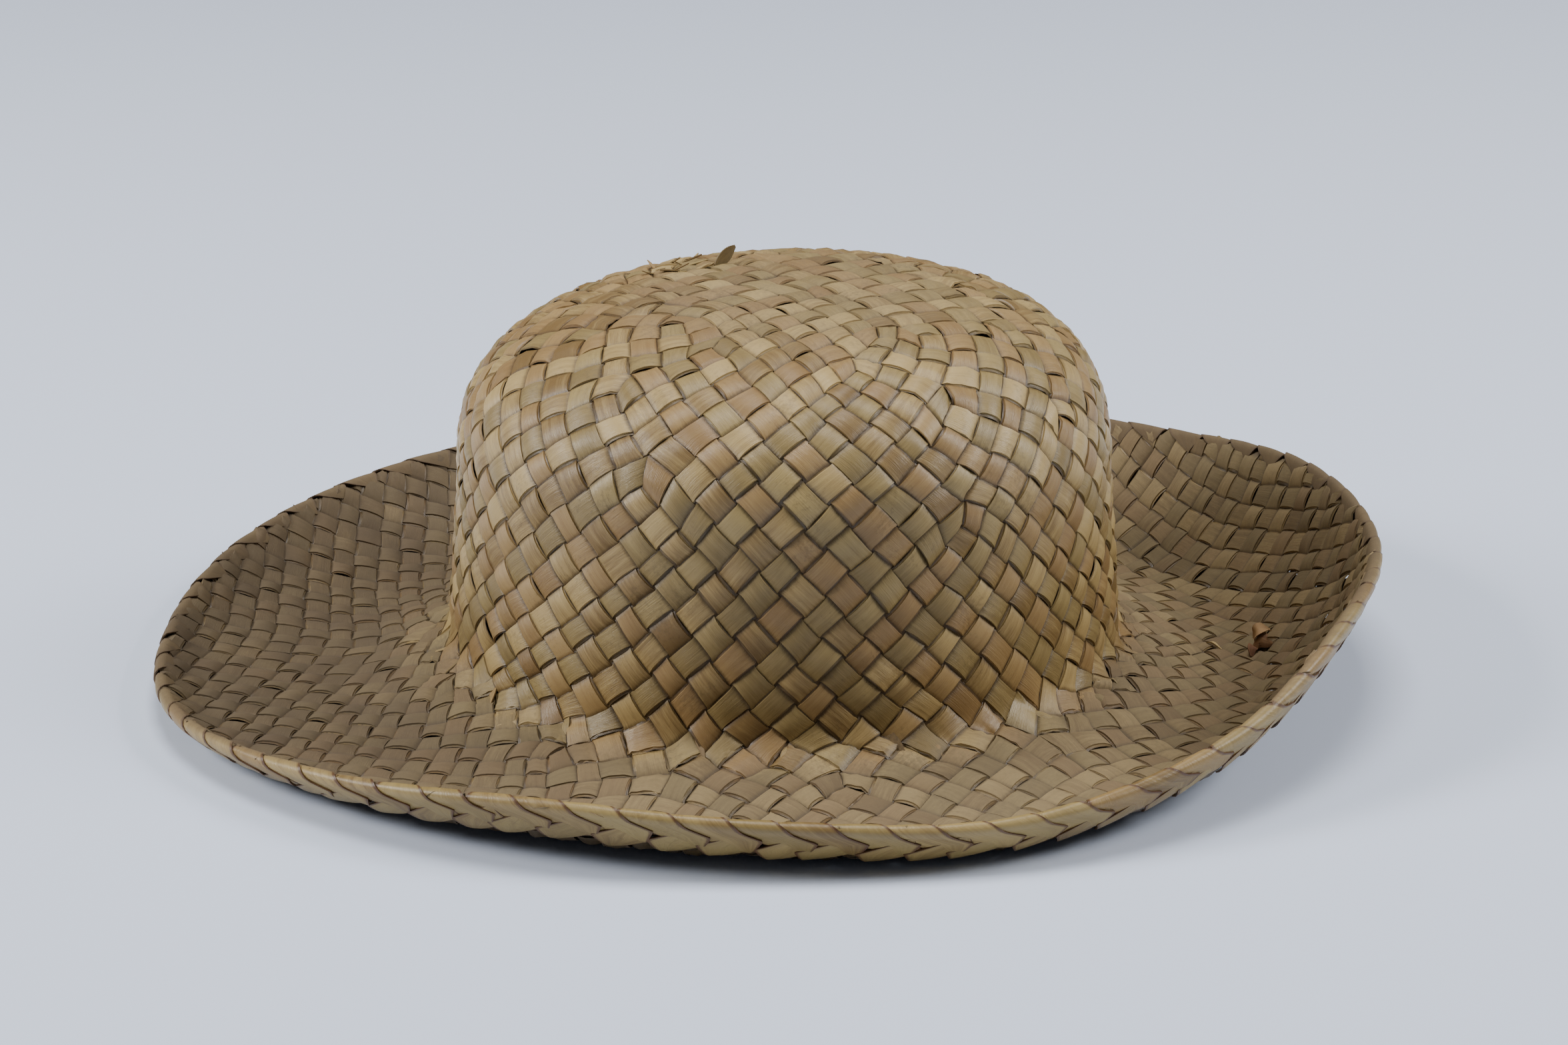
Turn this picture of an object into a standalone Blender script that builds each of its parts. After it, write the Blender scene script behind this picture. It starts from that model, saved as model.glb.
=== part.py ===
"""Wide-brimmed sun hat plaited in one from flat leaf strips, standing on its brim.

The hat stands at the origin, +Z up, with its front towards -Y.  Every section of the hat is one
curve from the tip of the crown down its side, out over the brim and up to the turned rim.  Walls
are laid under that curve, so the crown, the brim and the turned-back edge always line up.
"""
import functools
import math

import bmesh
import bpy
import numpy as np

# Driving sizes in metres, all on the outer face of the plait
FOOT_RADIUS = 0.0925        # crown side just above the bend at its foot
SHOULDER_RADIUS = 0.0896    # crown side where the dome takes over
SIDE_HEIGHT = 0.0443        # straight part of the crown side above the bend
DOME_HEIGHT = 0.0475        # dome above the straight part
BEND_RADIUS = 0.0076        # concave bend from the side out to the brim
BEND_ANGLE = math.radians(65.0)
TIP_DRIFT = 0.0060          # the dome leans this far to +X at its tip
WALL = 0.0016               # two crossing strips
BRIM_REACH = 0.1735         # widest edge of the brim from the crown's axis
EDGE_LIFT = 0.0280          # highest edge of the brim above the foot of the crown
BRIM_DIP = 0.0080           # brim drops this far to the ring that it rests on
REST_INNER = 0.1250         # that ring's inner and outer radius
REST_OUTER = 0.1290
EDGE_CURL = 0.0090          # strongest upward curl along the rim
CURL_WIDTH = 0.0110         # width of the strip that curls
FOLD_WIDTH = 0.0110         # strip ends turned back under the brim
FOLD_THICKNESS = 0.0014
GAP = 0.0003                # kept between neighbouring pieces

# Curve exponents: roundness of the dome across and up, how late the brim rises, how late the dome leans
DOME_ACROSS = 3.3
DOME_UP = 2.5
RISE_POWER = 1.7
DRIFT_POWER = 3

# Mesh density
SEGMENTS = 56
SIDE_RINGS = 4
DOME_RINGS = 11
BEND_RINGS = 4
SLOPE_RINGS = 4
RISE_RINGS = 6
FOLD_RINGS = 4

# The brim by azimuth, from the front (-Y) round by +X.  Each row: azimuth in degrees, then shares of
# BRIM_REACH, EDGE_LIFT and EDGE_CURL.
AZIMUTH, REACH, LIFT, CURL = range(4)
BRIM_TABLE = (
    (0.0, 0.888, 0.186, 1.00),
    (22.5, 0.908, 0.129, 1.00),
    (45.0, 0.922, 0.430, 0.80),
    (67.5, 0.928, 0.946, 0.60),
    (90.0, 0.940, 0.982, 0.40),
    (112.5, 0.943, 1.000, 0.30),
    (135.0, 0.939, 0.768, 0.30),
    (157.5, 0.928, 0.643, 0.30),
    (180.0, 0.922, 0.536, 0.30),
    (202.5, 0.934, 0.446, 0.30),
    (225.0, 0.957, 0.357, 0.25),
    (247.5, 0.979, 0.196, 0.25),
    (270.0, 0.990, 0.018, 0.30),
    (292.5, 1.000, 0.018, 0.50),
    (315.0, 0.950, 0.136, 0.70),
    (337.5, 0.911, 0.293, 0.90),
)

# Loose strip end that stands up on the crown, and dried leaf scrap caught on the brim
STRIP_WIDTH = 0.0050
STRIP_LENGTH = 0.0090
STRIP_THICKNESS = 0.0010
STRIP_RISE = 0.0042
STRIP_AZIMUTH = math.radians(-143.0)
STRIP_SHARE = 0.235         # place along the crown's section, from the tip
SCRAP_LENGTH = 0.0120
SCRAP_WIDTH = 0.0060
SCRAP_THICKNESS = 0.0014
SCRAP_RISE = 0.0040
SCRAP_AZIMUTH = math.radians(87.0)
SCRAP_SHARE = 0.50          # place along the brim's section, from the foot
TONGUE_TAPER = 0.55         # share of its width that such a tongue loses towards its free end
TONGUE_STEPS = 5

# Colours of the dry leaf: crown, brim, turned edge and the two scraps
CROWN_COLOUR = (0.36, 0.29, 0.19, 1.0)
BRIM_COLOUR = (0.27, 0.22, 0.16, 1.0)
EDGE_COLOUR = (0.47, 0.38, 0.23, 1.0)
SCRAP_COLOUR = (0.22, 0.13, 0.07, 1.0)
LEAF_ROUGHNESS = 0.62


def azimuths():
    """Azimuth of each segment round the hat."""
    return [2 * math.pi * k / SEGMENTS for k in range(SEGMENTS)]


def brim_value(azimuth, column):
    """One column of the brim table at an azimuth, as a smooth curve that closes on itself."""
    rows = len(BRIM_TABLE)
    place = (math.degrees(azimuth) % 360.0) / 360.0 * rows
    row = int(place)
    part = place - row
    before, start, end, after = (BRIM_TABLE[(row + k) % rows][column] for k in (-1, 0, 1, 2))
    slope_in = (end - before) / 2.0
    slope_out = (after - start) / 2.0
    return (
        start * (2 * part**3 - 3 * part**2 + 1)
        + slope_in * (part**3 - 2 * part**2 + part)
        + end * (3 * part**2 - 2 * part**3)
        + slope_out * (part**3 - part**2)
    )


def foot_height():
    """Height of the foot of the crown when the underside of the dipped brim stands on z = 0."""
    return BRIM_DIP + WALL


def dome_base():
    """Height where the straight side ends and the dome starts."""
    return foot_height() + BEND_RADIUS * math.sin(BEND_ANGLE) + SIDE_HEIGHT


def foot_radius():
    """Distance from the axis to the outer end of the bend, where the brim takes over."""
    return FOOT_RADIUS + BEND_RADIUS * (1 - math.cos(BEND_ANGLE))


def crown_section(dome_rings, side_rings, bend_rings):
    """Outer face from the tip to the foot: (distance from the axis, height) pairs."""
    bend_top = dome_base() - SIDE_HEIGHT
    points = []
    for k in range(dome_rings):
        turn = math.pi / 2 * k / dome_rings
        across = math.sin(turn) ** (2 / DOME_ACROSS)
        up = math.cos(turn) ** (2 / DOME_UP)
        points.append((SHOULDER_RADIUS * across, dome_base() + DOME_HEIGHT * up))
    for k in range(side_rings):
        share = k / side_rings
        radius = SHOULDER_RADIUS + (FOOT_RADIUS - SHOULDER_RADIUS) * share
        points.append((radius, dome_base() - SIDE_HEIGHT * share))
    for k in range(bend_rings + 1):
        turn = BEND_ANGLE * k / bend_rings
        points.append(
            (FOOT_RADIUS + BEND_RADIUS * (1 - math.cos(turn)), bend_top - BEND_RADIUS * math.sin(turn))
        )
    return np.array(points)


def brim_height(azimuth, radius, rim):
    """Height of the brim's upper face: down to the rest ring, level, then up to the curled rim."""
    foot = foot_radius()
    level = foot_height() - BRIM_DIP
    if radius <= REST_INNER:
        share = (radius - foot) / (REST_INNER - foot)
        return foot_height() - BRIM_DIP * math.sin(math.pi / 2 * share)
    if radius <= REST_OUTER:
        return level
    curl = EDGE_CURL * brim_value(azimuth, CURL)
    rise = EDGE_LIFT * brim_value(azimuth, LIFT) + BRIM_DIP - curl
    share = (radius - REST_OUTER) / (rim - REST_OUTER)
    curled = max(0.0, 1.0 - (rim - radius) / CURL_WIDTH)
    return level + rise * share**RISE_POWER + curl * curled**2


def brim_section(azimuth, slope_rings, rise_rings):
    """Outer face from the foot of the crown to the rim at one azimuth."""
    foot = foot_radius()
    rim = BRIM_REACH * brim_value(azimuth, REACH) - FOLD_THICKNESS - GAP
    radii = [foot + (REST_INNER - foot) * k / slope_rings for k in range(slope_rings + 1)]
    curl_start = rim - CURL_WIDTH
    main_rings = rise_rings // 2
    curl_rings = rise_rings - main_rings
    radii += [REST_OUTER + (curl_start - REST_OUTER) * k / main_rings for k in range(main_rings + 1)]
    radii += [curl_start + CURL_WIDTH * (k + 1) / curl_rings for k in range(curl_rings)]
    return np.array([(r, brim_height(azimuth, r, rim)) for r in radii])


def normals(section):
    """Unit normals of a section, pointing out of the hat's upper face."""
    ahead = np.gradient(section, axis=0)
    ahead /= np.linalg.norm(ahead, axis=1)[:, None]
    return np.stack([-ahead[:, 1], ahead[:, 0]], axis=1)


def drift(height):
    """Lean of the dome towards +X, growing from the dome's base to its tip."""
    share = min(1.0, max(0.0, (height - dome_base()) / DOME_HEIGHT))
    return TIP_DRIFT * share**DRIFT_POWER


@functools.lru_cache(maxsize=1)
def footprint_centre():
    """Middle of the rim's bounding box, which stands at the origin."""
    rim = []
    for azimuth in azimuths():
        reach = BRIM_REACH * brim_value(azimuth, REACH)
        rim.append((reach * math.sin(azimuth), -reach * math.cos(azimuth)))
    low, high = np.min(rim, axis=0), np.max(rim, axis=0)
    return (low + high) / 2


def place(azimuth, radius, height):
    """A point of the hat in the part's own frame."""
    centre = footprint_centre()
    return (
        radius * math.sin(azimuth) + drift(height) - centre[0],
        -radius * math.cos(azimuth) - centre[1],
        height,
    )


def leaf_material(name, colour):
    """Plain dry-leaf material."""
    material = bpy.data.materials.new(name)
    material.use_nodes = True
    shader = material.node_tree.nodes["Principled BSDF"]
    shader.inputs["Base Color"].default_value = colour
    shader.inputs["Roughness"].default_value = LEAF_ROUGHNESS
    shader.inputs["Metallic"].default_value = 0.0
    return material


def finish(name, bm, material):
    """Turn a closed bmesh into a named object with outward faces."""
    bmesh.ops.recalc_face_normals(bm, faces=bm.faces)
    mesh = bpy.data.meshes.new(name)
    bm.to_mesh(mesh)
    bm.free()
    mesh.shade_smooth()
    obj = bpy.data.objects.new(name, mesh)
    obj.data.materials.append(material)
    bpy.context.collection.objects.link(obj)
    return obj


def closed_ring(name, loops, material):
    """Join one closed loop of points per azimuth into a ring-shaped solid."""
    bm = bmesh.new()
    rings = [[bm.verts.new(point) for point in loop] for loop in loops]
    count = len(rings[0])
    for k, ring in enumerate(rings):
        following = rings[(k + 1) % len(rings)]
        for j in range(count):
            nxt = (j + 1) % count
            bm.faces.new((ring[j], following[j], following[nxt], ring[nxt]))
    return finish(name, bm, material)


def crown_walls():
    """Outer and inner curve of the whole crown, from the tip to the foot."""
    outer = crown_section(DOME_RINGS, SIDE_RINGS, BEND_RINGS)
    inner = outer - normals(outer) * WALL
    inner[0] = (0.0, outer[0][1] - WALL)
    return outer, inner


def build_crown_top():
    """Domed top of the crown: a cap with its wall inside the outer curve, one gap above the side."""
    bm = bmesh.new()
    borders = []
    for curve in crown_walls():
        cap = curve[: DOME_RINGS + 1]
        cap[-1][1] += GAP
        tip = bm.verts.new(place(0.0, *cap[0]))
        rings = [[bm.verts.new(place(a, r, z)) for a in azimuths()] for r, z in cap[1:]]
        for k in range(SEGMENTS):
            nxt = (k + 1) % SEGMENTS
            bm.faces.new((tip, rings[0][k], rings[0][nxt]))
            for upper, lower in zip(rings, rings[1:]):
                bm.faces.new((upper[k], lower[k], lower[nxt], upper[nxt]))
        borders.append(rings[-1])
    for k in range(SEGMENTS):
        nxt = (k + 1) % SEGMENTS
        bm.faces.new((borders[0][k], borders[1][k], borders[1][nxt], borders[0][nxt]))
    return finish("crown_top", bm, leaf_material("crown_top_leaf", CROWN_COLOUR))


def build_crown_side():
    """Side of the crown with the bend at its foot: an open ring below the top."""
    outer, inner = (curve[DOME_RINGS:] for curve in crown_walls())
    loops = [[place(a, r, z) for r, z in (*outer, *inner[::-1])] for a in azimuths()]
    return closed_ring("crown_side", loops, leaf_material("crown_side_leaf", CROWN_COLOUR))


def build_brim():
    """Brim: a wavy ring that starts one gap away from the foot of the crown."""
    loops = []
    for azimuth in azimuths():
        outer = brim_section(azimuth, SLOPE_RINGS, RISE_RINGS)
        under = outer - normals(outer) * WALL
        under[SLOPE_RINGS] = (REST_INNER, 0.0)
        under[SLOPE_RINGS + 1] = (REST_OUTER, 0.0)
        ahead = outer[1] - outer[0]
        step = ahead / np.linalg.norm(ahead) * GAP
        outer[0] += step
        under[0] += step
        loops.append([place(azimuth, r, z) for r, z in (*outer, *under[::-1])])
    return closed_ring("brim", loops, leaf_material("brim_leaf", BRIM_COLOUR))


def build_edge():
    """Turned-back edge: round the rim and back along the underside, one gap clear of the brim."""
    loops = []
    for azimuth in azimuths():
        outer = brim_section(azimuth, SLOPE_RINGS, RISE_RINGS)
        facing = normals(outer)
        lengths = np.concatenate([[0.0], np.cumsum(np.linalg.norm(np.diff(outer, axis=0), axis=1))])
        stations = np.linspace(lengths[-1] - FOLD_WIDTH, lengths[-1], FOLD_RINGS + 1)
        leg = np.stack([np.interp(stations, lengths, outer[:, i]) for i in (0, 1)], axis=1)
        up = np.stack([np.interp(stations, lengths, facing[:, i]) for i in (0, 1)], axis=1)
        up /= np.linalg.norm(up, axis=1)[:, None]
        out = np.array([up[-1][1], -up[-1][0]])
        near = leg - up * (WALL + GAP)
        far = leg - up * (WALL + GAP + FOLD_THICKNESS)
        near[-1] += out * GAP
        corner = far[-1] + out * (GAP + FOLD_THICKNESS / 2)
        side = leg[-1] - up[-1] * (WALL + GAP + FOLD_THICKNESS / 2) + out * (GAP + FOLD_THICKNESS)
        lip_out = leg[-1] - up[-1] * FOLD_THICKNESS / 2 + out * (GAP + FOLD_THICKNESS)
        lip_top = leg[-1] + out * (GAP + FOLD_THICKNESS / 2)
        lip_in = leg[-1] - up[-1] * GAP + out * GAP
        loop = [*far, corner, side, lip_out, lip_top, lip_in, *near[::-1]]
        loops.append([place(azimuth, r, z) for r, z in loop])
    return closed_ring("brim_edge", loops, leaf_material("edge_leaf", EDGE_COLOUR))


def lying_leaf(name, base, ahead, across, up, size, material):
    """A leaf tongue that lies along `ahead` and lifts its free end."""
    length, width, thickness, rise = size
    bm = bmesh.new()
    top = up * thickness
    rows = []
    for k in range(TONGUE_STEPS + 1):
        share = k / TONGUE_STEPS
        centre = base + ahead * (length * share) + up * (GAP + rise * share**2)
        half = across * (width / 2 * (1.0 - TONGUE_TAPER * share))
        corners = (centre - half, centre + half, centre + half + top, centre - half + top)
        rows.append([bm.verts.new(corner) for corner in corners])
    bm.faces.new(rows[0])
    bm.faces.new(rows[-1][::-1])
    for first, second in zip(rows, rows[1:]):
        for j in range(4):
            nxt = (j + 1) % 4
            bm.faces.new((first[j], first[nxt], second[nxt], second[j]))
    return finish(name, bm, material)


def surface_frame(azimuth, section, share):
    """Point, downhill direction, level direction and normal on the outer face of the hat."""
    lengths = np.concatenate([[0.0], np.cumsum(np.linalg.norm(np.diff(section, axis=0), axis=1))])
    step = 0.001

    def on_surface(turn, distance):
        radius, height = (np.interp(distance, lengths, section[:, i]) for i in (0, 1))
        return np.array(place(turn, radius, height))

    distance = share * lengths[-1]
    point = on_surface(azimuth, distance)
    down = on_surface(azimuth, distance + step) - on_surface(azimuth, distance - step)
    level = on_surface(azimuth + step, distance) - on_surface(azimuth - step, distance)
    down /= np.linalg.norm(down)
    level /= np.linalg.norm(level)
    up = np.cross(down, level)
    return point, down, level, up / np.linalg.norm(up)


def build_strip_end():
    """The loose end of a strip that stands up behind the tip of the crown."""
    section = crown_section(DOME_RINGS * 4, SIDE_RINGS, BEND_RINGS)
    point, down, level, up = surface_frame(STRIP_AZIMUTH, section, STRIP_SHARE)
    seat = point + up * (STRIP_LENGTH**2 / (8 * SHOULDER_RADIUS))
    size = (STRIP_LENGTH, STRIP_WIDTH, STRIP_THICKNESS, STRIP_RISE)
    lying_leaf("strip_end", seat, -down, level, up, size, leaf_material("strip_leaf", CROWN_COLOUR))


def build_leaf_scrap():
    """The dried scrap of leaf caught on the right of the brim."""
    section = brim_section(SCRAP_AZIMUTH, SLOPE_RINGS * 4, RISE_RINGS * 4)
    point, down, level, up = surface_frame(SCRAP_AZIMUTH, section, SCRAP_SHARE)
    size = (SCRAP_LENGTH, SCRAP_WIDTH, SCRAP_THICKNESS, SCRAP_RISE)
    base = point + up * GAP * 2
    lying_leaf("leaf_scrap", base, level, down, up, size, leaf_material("scrap_leaf", SCRAP_COLOUR))


def build_hat():
    """Build every piece of the hat."""
    for obj in list(bpy.data.objects):
        bpy.data.objects.remove(obj, do_unlink=True)
    build_crown_top()
    build_crown_side()
    build_brim()
    build_edge()
    build_strip_end()
    build_leaf_scrap()


build_hat()
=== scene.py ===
"""Plaited leaf sun hat standing on its brim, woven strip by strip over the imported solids.

The plait is one net of four-sided cells from the tip of the crown to the rim.  Every cell is a
crossing of two leaf strips, and every strip is a chain of cells joined through opposite sides.  The
net is laid on the hat's surface, evened out like a net of springs, and then each strip is drawn
through it as a thin closed ribbon that passes over and under the strips that it crosses.
"""
import logging
import math
from dataclasses import dataclass, field
from enum import Enum
from typing import Sequence

import bpy
import numpy as np
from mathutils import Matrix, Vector


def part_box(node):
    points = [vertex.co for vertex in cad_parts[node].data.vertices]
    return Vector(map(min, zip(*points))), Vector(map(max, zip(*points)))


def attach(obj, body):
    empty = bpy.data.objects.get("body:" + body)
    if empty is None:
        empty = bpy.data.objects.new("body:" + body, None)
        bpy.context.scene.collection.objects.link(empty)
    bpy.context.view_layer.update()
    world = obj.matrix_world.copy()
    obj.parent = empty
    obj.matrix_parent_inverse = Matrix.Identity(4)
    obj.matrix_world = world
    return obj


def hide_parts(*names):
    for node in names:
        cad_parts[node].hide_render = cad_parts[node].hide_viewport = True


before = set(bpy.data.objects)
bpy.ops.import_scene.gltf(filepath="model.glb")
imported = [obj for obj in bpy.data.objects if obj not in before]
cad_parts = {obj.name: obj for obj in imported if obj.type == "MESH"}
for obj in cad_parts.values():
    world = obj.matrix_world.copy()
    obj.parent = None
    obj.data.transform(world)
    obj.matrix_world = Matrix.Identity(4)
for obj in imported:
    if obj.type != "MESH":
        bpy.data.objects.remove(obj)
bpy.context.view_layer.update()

LOG = logging.getLogger("sun_hat")
TURN = 2.0 * math.pi


# Form of the hat

@dataclass(frozen=True)
class BrimRow:
    """Shares of the brim's reach, lift and curl at one azimuth from the front."""

    reach: float
    lift: float
    curl: float


@dataclass(frozen=True)
class HatForm:
    """Sizes of the hat in metres, the same as in the solids.

    Azimuth 0 is the front (-Y) and a quarter turn is +X.
    """

    foot_radius: float = 0.0925
    shoulder_radius: float = 0.0896
    side_height: float = 0.0443
    dome_height: float = 0.0475
    bend_radius: float = 0.0076
    bend_angle: float = math.radians(65.0)
    tip_drift: float = 0.0060
    wall: float = 0.0016
    brim_reach: float = 0.1735
    edge_lift: float = 0.0280
    brim_dip: float = 0.0080
    rest_inner: float = 0.1250
    rest_outer: float = 0.1290
    edge_curl: float = 0.0090
    curl_width: float = 0.0110
    rim_inset: float = 0.0017
    dome_across: float = 3.3
    dome_up: float = 2.5
    rise_power: float = 1.7
    drift_power: int = 3
    brim_rows: tuple[BrimRow, ...] = (
        BrimRow(0.888, 0.186, 1.00),
        BrimRow(0.908, 0.129, 1.00),
        BrimRow(0.922, 0.430, 0.80),
        BrimRow(0.928, 0.946, 0.60),
        BrimRow(0.940, 0.982, 0.40),
        BrimRow(0.943, 1.000, 0.30),
        BrimRow(0.939, 0.768, 0.30),
        BrimRow(0.928, 0.643, 0.30),
        BrimRow(0.922, 0.536, 0.30),
        BrimRow(0.934, 0.446, 0.30),
        BrimRow(0.957, 0.357, 0.25),
        BrimRow(0.979, 0.196, 0.25),
        BrimRow(0.990, 0.018, 0.30),
        BrimRow(1.000, 0.018, 0.50),
        BrimRow(0.950, 0.136, 0.70),
        BrimRow(0.911, 0.293, 0.90),
    )

    @property
    def foot_height(self) -> float:
        """Height of the foot of the crown above the floor."""
        return self.brim_dip + self.wall

    @property
    def dome_base(self) -> float:
        """Height where the straight side ends and the dome starts."""
        return self.foot_height + self.bend_radius * math.sin(self.bend_angle) + self.side_height

    @property
    def foot_reach(self) -> float:
        """Distance from the axis to the outer end of the bend."""
        return self.foot_radius + self.bend_radius * (1 - math.cos(self.bend_angle))

    def brim_value(self, azimuth: float, name: str) -> float:
        """One column of the brim rows at an azimuth.

        Args:
            azimuth: Angle from the front, in radians.
            name: Column to read.

        Returns:
            The share, on a smooth curve that closes on itself.
        """
        rows = len(self.brim_rows)
        place = (azimuth % TURN) / TURN * rows
        row = int(place)
        part = place - row
        before, start, end, after = (
            getattr(self.brim_rows[(row + k) % rows], name) for k in (-1, 0, 1, 2)
        )
        return (
            start * (2 * part**3 - 3 * part**2 + 1)
            + (end - before) / 2 * (part**3 - 2 * part**2 + part)
            + end * (3 * part**2 - 2 * part**3)
            + (after - start) / 2 * (part**3 - part**2)
        )

    def crown_section(self) -> np.ndarray:
        """Outer face from the tip to the foot, as rows of distance from the axis and height."""
        turn = np.linspace(0.0, math.pi / 2, 240, endpoint=False)
        dome = np.stack(
            [
                self.shoulder_radius * np.sin(turn) ** (2 / self.dome_across),
                self.dome_base + self.dome_height * np.cos(turn) ** (2 / self.dome_up),
            ],
            axis=1,
        )
        share = np.linspace(0.0, 1.0, 20, endpoint=False)
        side = np.stack(
            [
                self.shoulder_radius + (self.foot_radius - self.shoulder_radius) * share,
                self.dome_base - self.side_height * share,
            ],
            axis=1,
        )
        bend = np.linspace(0.0, self.bend_angle, 24)
        bend_top = self.dome_base - self.side_height
        foot = np.stack(
            [
                self.foot_radius + self.bend_radius * (1 - np.cos(bend)),
                bend_top - self.bend_radius * np.sin(bend),
            ],
            axis=1,
        )
        return np.concatenate([dome, side, foot])

    def brim_section(self, azimuth: float) -> np.ndarray:
        """Outer face from the foot to the rim.

        Args:
            azimuth: Angle from the front, in radians.

        Returns:
            Rows of distance from the axis and height.
        """
        rim = self.brim_reach * self.brim_value(azimuth, "reach") - self.rim_inset
        radius = np.linspace(self.foot_reach, rim, 160)[1:]
        level = self.foot_height - self.brim_dip
        slope = (radius - self.foot_reach) / (self.rest_inner - self.foot_reach)
        inner = self.foot_height - self.brim_dip * np.sin(math.pi / 2 * np.clip(slope, 0.0, 1.0))
        curl = self.edge_curl * self.brim_value(azimuth, "curl")
        rise = self.edge_lift * self.brim_value(azimuth, "lift") + self.brim_dip - curl
        share = np.clip((radius - self.rest_outer) / (rim - self.rest_outer), 0.0, 1.0)
        curled = np.clip(1.0 - (rim - radius) / self.curl_width, 0.0, 1.0)
        outer = level + rise * share**self.rise_power + curl * curled**2
        return np.stack([radius, np.where(radius < self.rest_inner, inner, outer)], axis=1)

    def drift(self, height: np.ndarray) -> np.ndarray:
        """Lean of the dome towards +X at each height."""
        share = np.clip((height - self.dome_base) / self.dome_height, 0.0, 1.0)
        return self.tip_drift * share**self.drift_power


@dataclass
class HatSurface:
    """The middle of the wall as a table over azimuth and distance from the tip along the wall.

    Past the rim the table turns round it and runs back along the underside.
    """

    form: HatForm
    centre: tuple[float, float]
    columns: int = 256
    spacing: float = 0.0004
    turn_radius: float = 0.0010
    under_length: float = 0.0200
    press_height: float = 0.0011
    press_share: float = 0.38
    points: np.ndarray = field(init=False)
    flat_points: np.ndarray = field(init=False)
    facing: np.ndarray = field(init=False)
    rim_arc: np.ndarray = field(init=False)
    crease_arc: float = field(init=False)

    def __post_init__(self) -> None:
        """Fill the tables."""
        azimuths = np.arange(self.columns) / self.columns * TURN
        sections = [self._middle(azimuth) for azimuth in azimuths]
        lengths = [self._lengths(section) for section in sections]
        self.rim_arc = np.array([length[-1] for length in lengths])
        crown = self._lengths(self.form.crown_section())
        self.crease_arc = float(crown[-1])
        top = self.rim_arc.max() + self.turn_radius * math.pi + self.under_length
        stations = np.arange(0.0, top, self.spacing)
        wrapped, flat = [], []
        for azimuth, section, length in zip(azimuths, sections, lengths):
            full = self._with_turned_rim(section)
            full_length = self._lengths(full)
            wrapped.append(self._spread(azimuth, stations, full_length, full))
            outward = np.array([[section[-1][0] + 0.2, section[-1][1]]])
            open_length = np.append(length, length[-1] + 0.2)
            flat_stations = np.arange(0.0, top + 0.15, self.spacing)
            opened = np.concatenate([section, outward])
            flat.append(self._spread(azimuth, flat_stations, open_length, opened))
        self.points = np.array(wrapped)
        self.flat_points = np.array(flat)
        along = np.gradient(self.points, axis=1)
        around = np.roll(self.points, -1, axis=0) - np.roll(self.points, 1, axis=0)
        facing = np.cross(along, around)
        facing[:, :4] = facing[:, 4:5].mean(axis=0)
        self.facing = facing / np.maximum(np.linalg.norm(facing, axis=2), 1e-12)[..., None]

    def _middle(self, azimuth: float) -> np.ndarray:
        """Section through the middle of the wall, evenly spaced."""
        outer = np.concatenate([self.form.crown_section(), self.form.brim_section(azimuth)])
        length = self._lengths(outer)
        even = np.linspace(0.0, length[-1], int(length[-1] / self.spacing))
        outer = np.stack([np.interp(even, length, outer[:, i]) for i in (0, 1)], axis=1)
        ahead = np.gradient(outer, axis=0)
        ahead /= np.linalg.norm(ahead, axis=1)[:, None]
        inward = np.stack([ahead[:, 1], -ahead[:, 0]], axis=1)
        middle = outer + inward * self.form.wall / 2
        middle[0, 0] = 0.0
        return middle

    @staticmethod
    def _lengths(section: np.ndarray) -> np.ndarray:
        """Distance along a section at each of its points."""
        return np.concatenate([[0.0], np.cumsum(np.linalg.norm(np.diff(section, axis=0), axis=1))])

    def _with_turned_rim(self, section: np.ndarray) -> np.ndarray:
        """Section carried round the rim and back along the underside."""
        ahead = np.gradient(section, axis=0)
        ahead /= np.linalg.norm(ahead, axis=1)[:, None]
        down = np.stack([ahead[:, 1], -ahead[:, 0]], axis=1)
        turn = np.linspace(0.0, math.pi, 9)[1:-1, None]
        middle = section[-1] + down[-1] * self.turn_radius
        bend = middle + self.turn_radius * (np.sin(turn) * ahead[-1] - np.cos(turn) * down[-1])
        count = int(self.under_length / self.spacing) + 8
        under = (section + 2 * self.turn_radius * down)[-count:][::-1]
        return np.concatenate([section, bend, under])

    def _spread(
        self, azimuth: float, stations: np.ndarray, length: np.ndarray, section: np.ndarray
    ) -> np.ndarray:
        """Points of a section at evenly spaced stations, in the hat's frame."""
        radius, height = (np.interp(stations, length, section[:, i]) for i in (0, 1))
        return np.stack(
            [
                self.centre[0] + radius * math.sin(azimuth) + self.form.drift(height),
                self.centre[1] - radius * math.cos(azimuth),
                height,
            ],
            axis=1,
        )

    def sample(self, table: np.ndarray, azimuth: np.ndarray, arc: np.ndarray) -> np.ndarray:
        """Read a table between its rows and columns.

        Args:
            table: Table over azimuth and arc.
            azimuth: Angles from the front, in radians.
            arc: Distances from the tip along the wall.

        Returns:
            One row of the table's values for each place.
        """
        column = (azimuth / TURN * self.columns) % self.columns
        first = np.floor(column).astype(int) % self.columns
        second = (first + 1) % self.columns
        across = (column - np.floor(column))[..., None]
        row = np.clip(arc / self.spacing, 0.0, table.shape[1] - 1.001)
        low = row.astype(int)
        along = (row - low)[..., None]
        start = table[first, low] * (1 - along) + table[first, low + 1] * along
        end = table[second, low] * (1 - along) + table[second, low + 1] * along
        return start * (1 - across) + end * across

    def rim(self, azimuth: np.ndarray) -> np.ndarray:
        """Distance from the tip to the rim at each azimuth."""
        grid = np.arange(self.columns + 1) / self.columns * TURN
        return np.interp(np.asarray(azimuth) % TURN, grid, np.append(self.rim_arc, self.rim_arc[0]))

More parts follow.
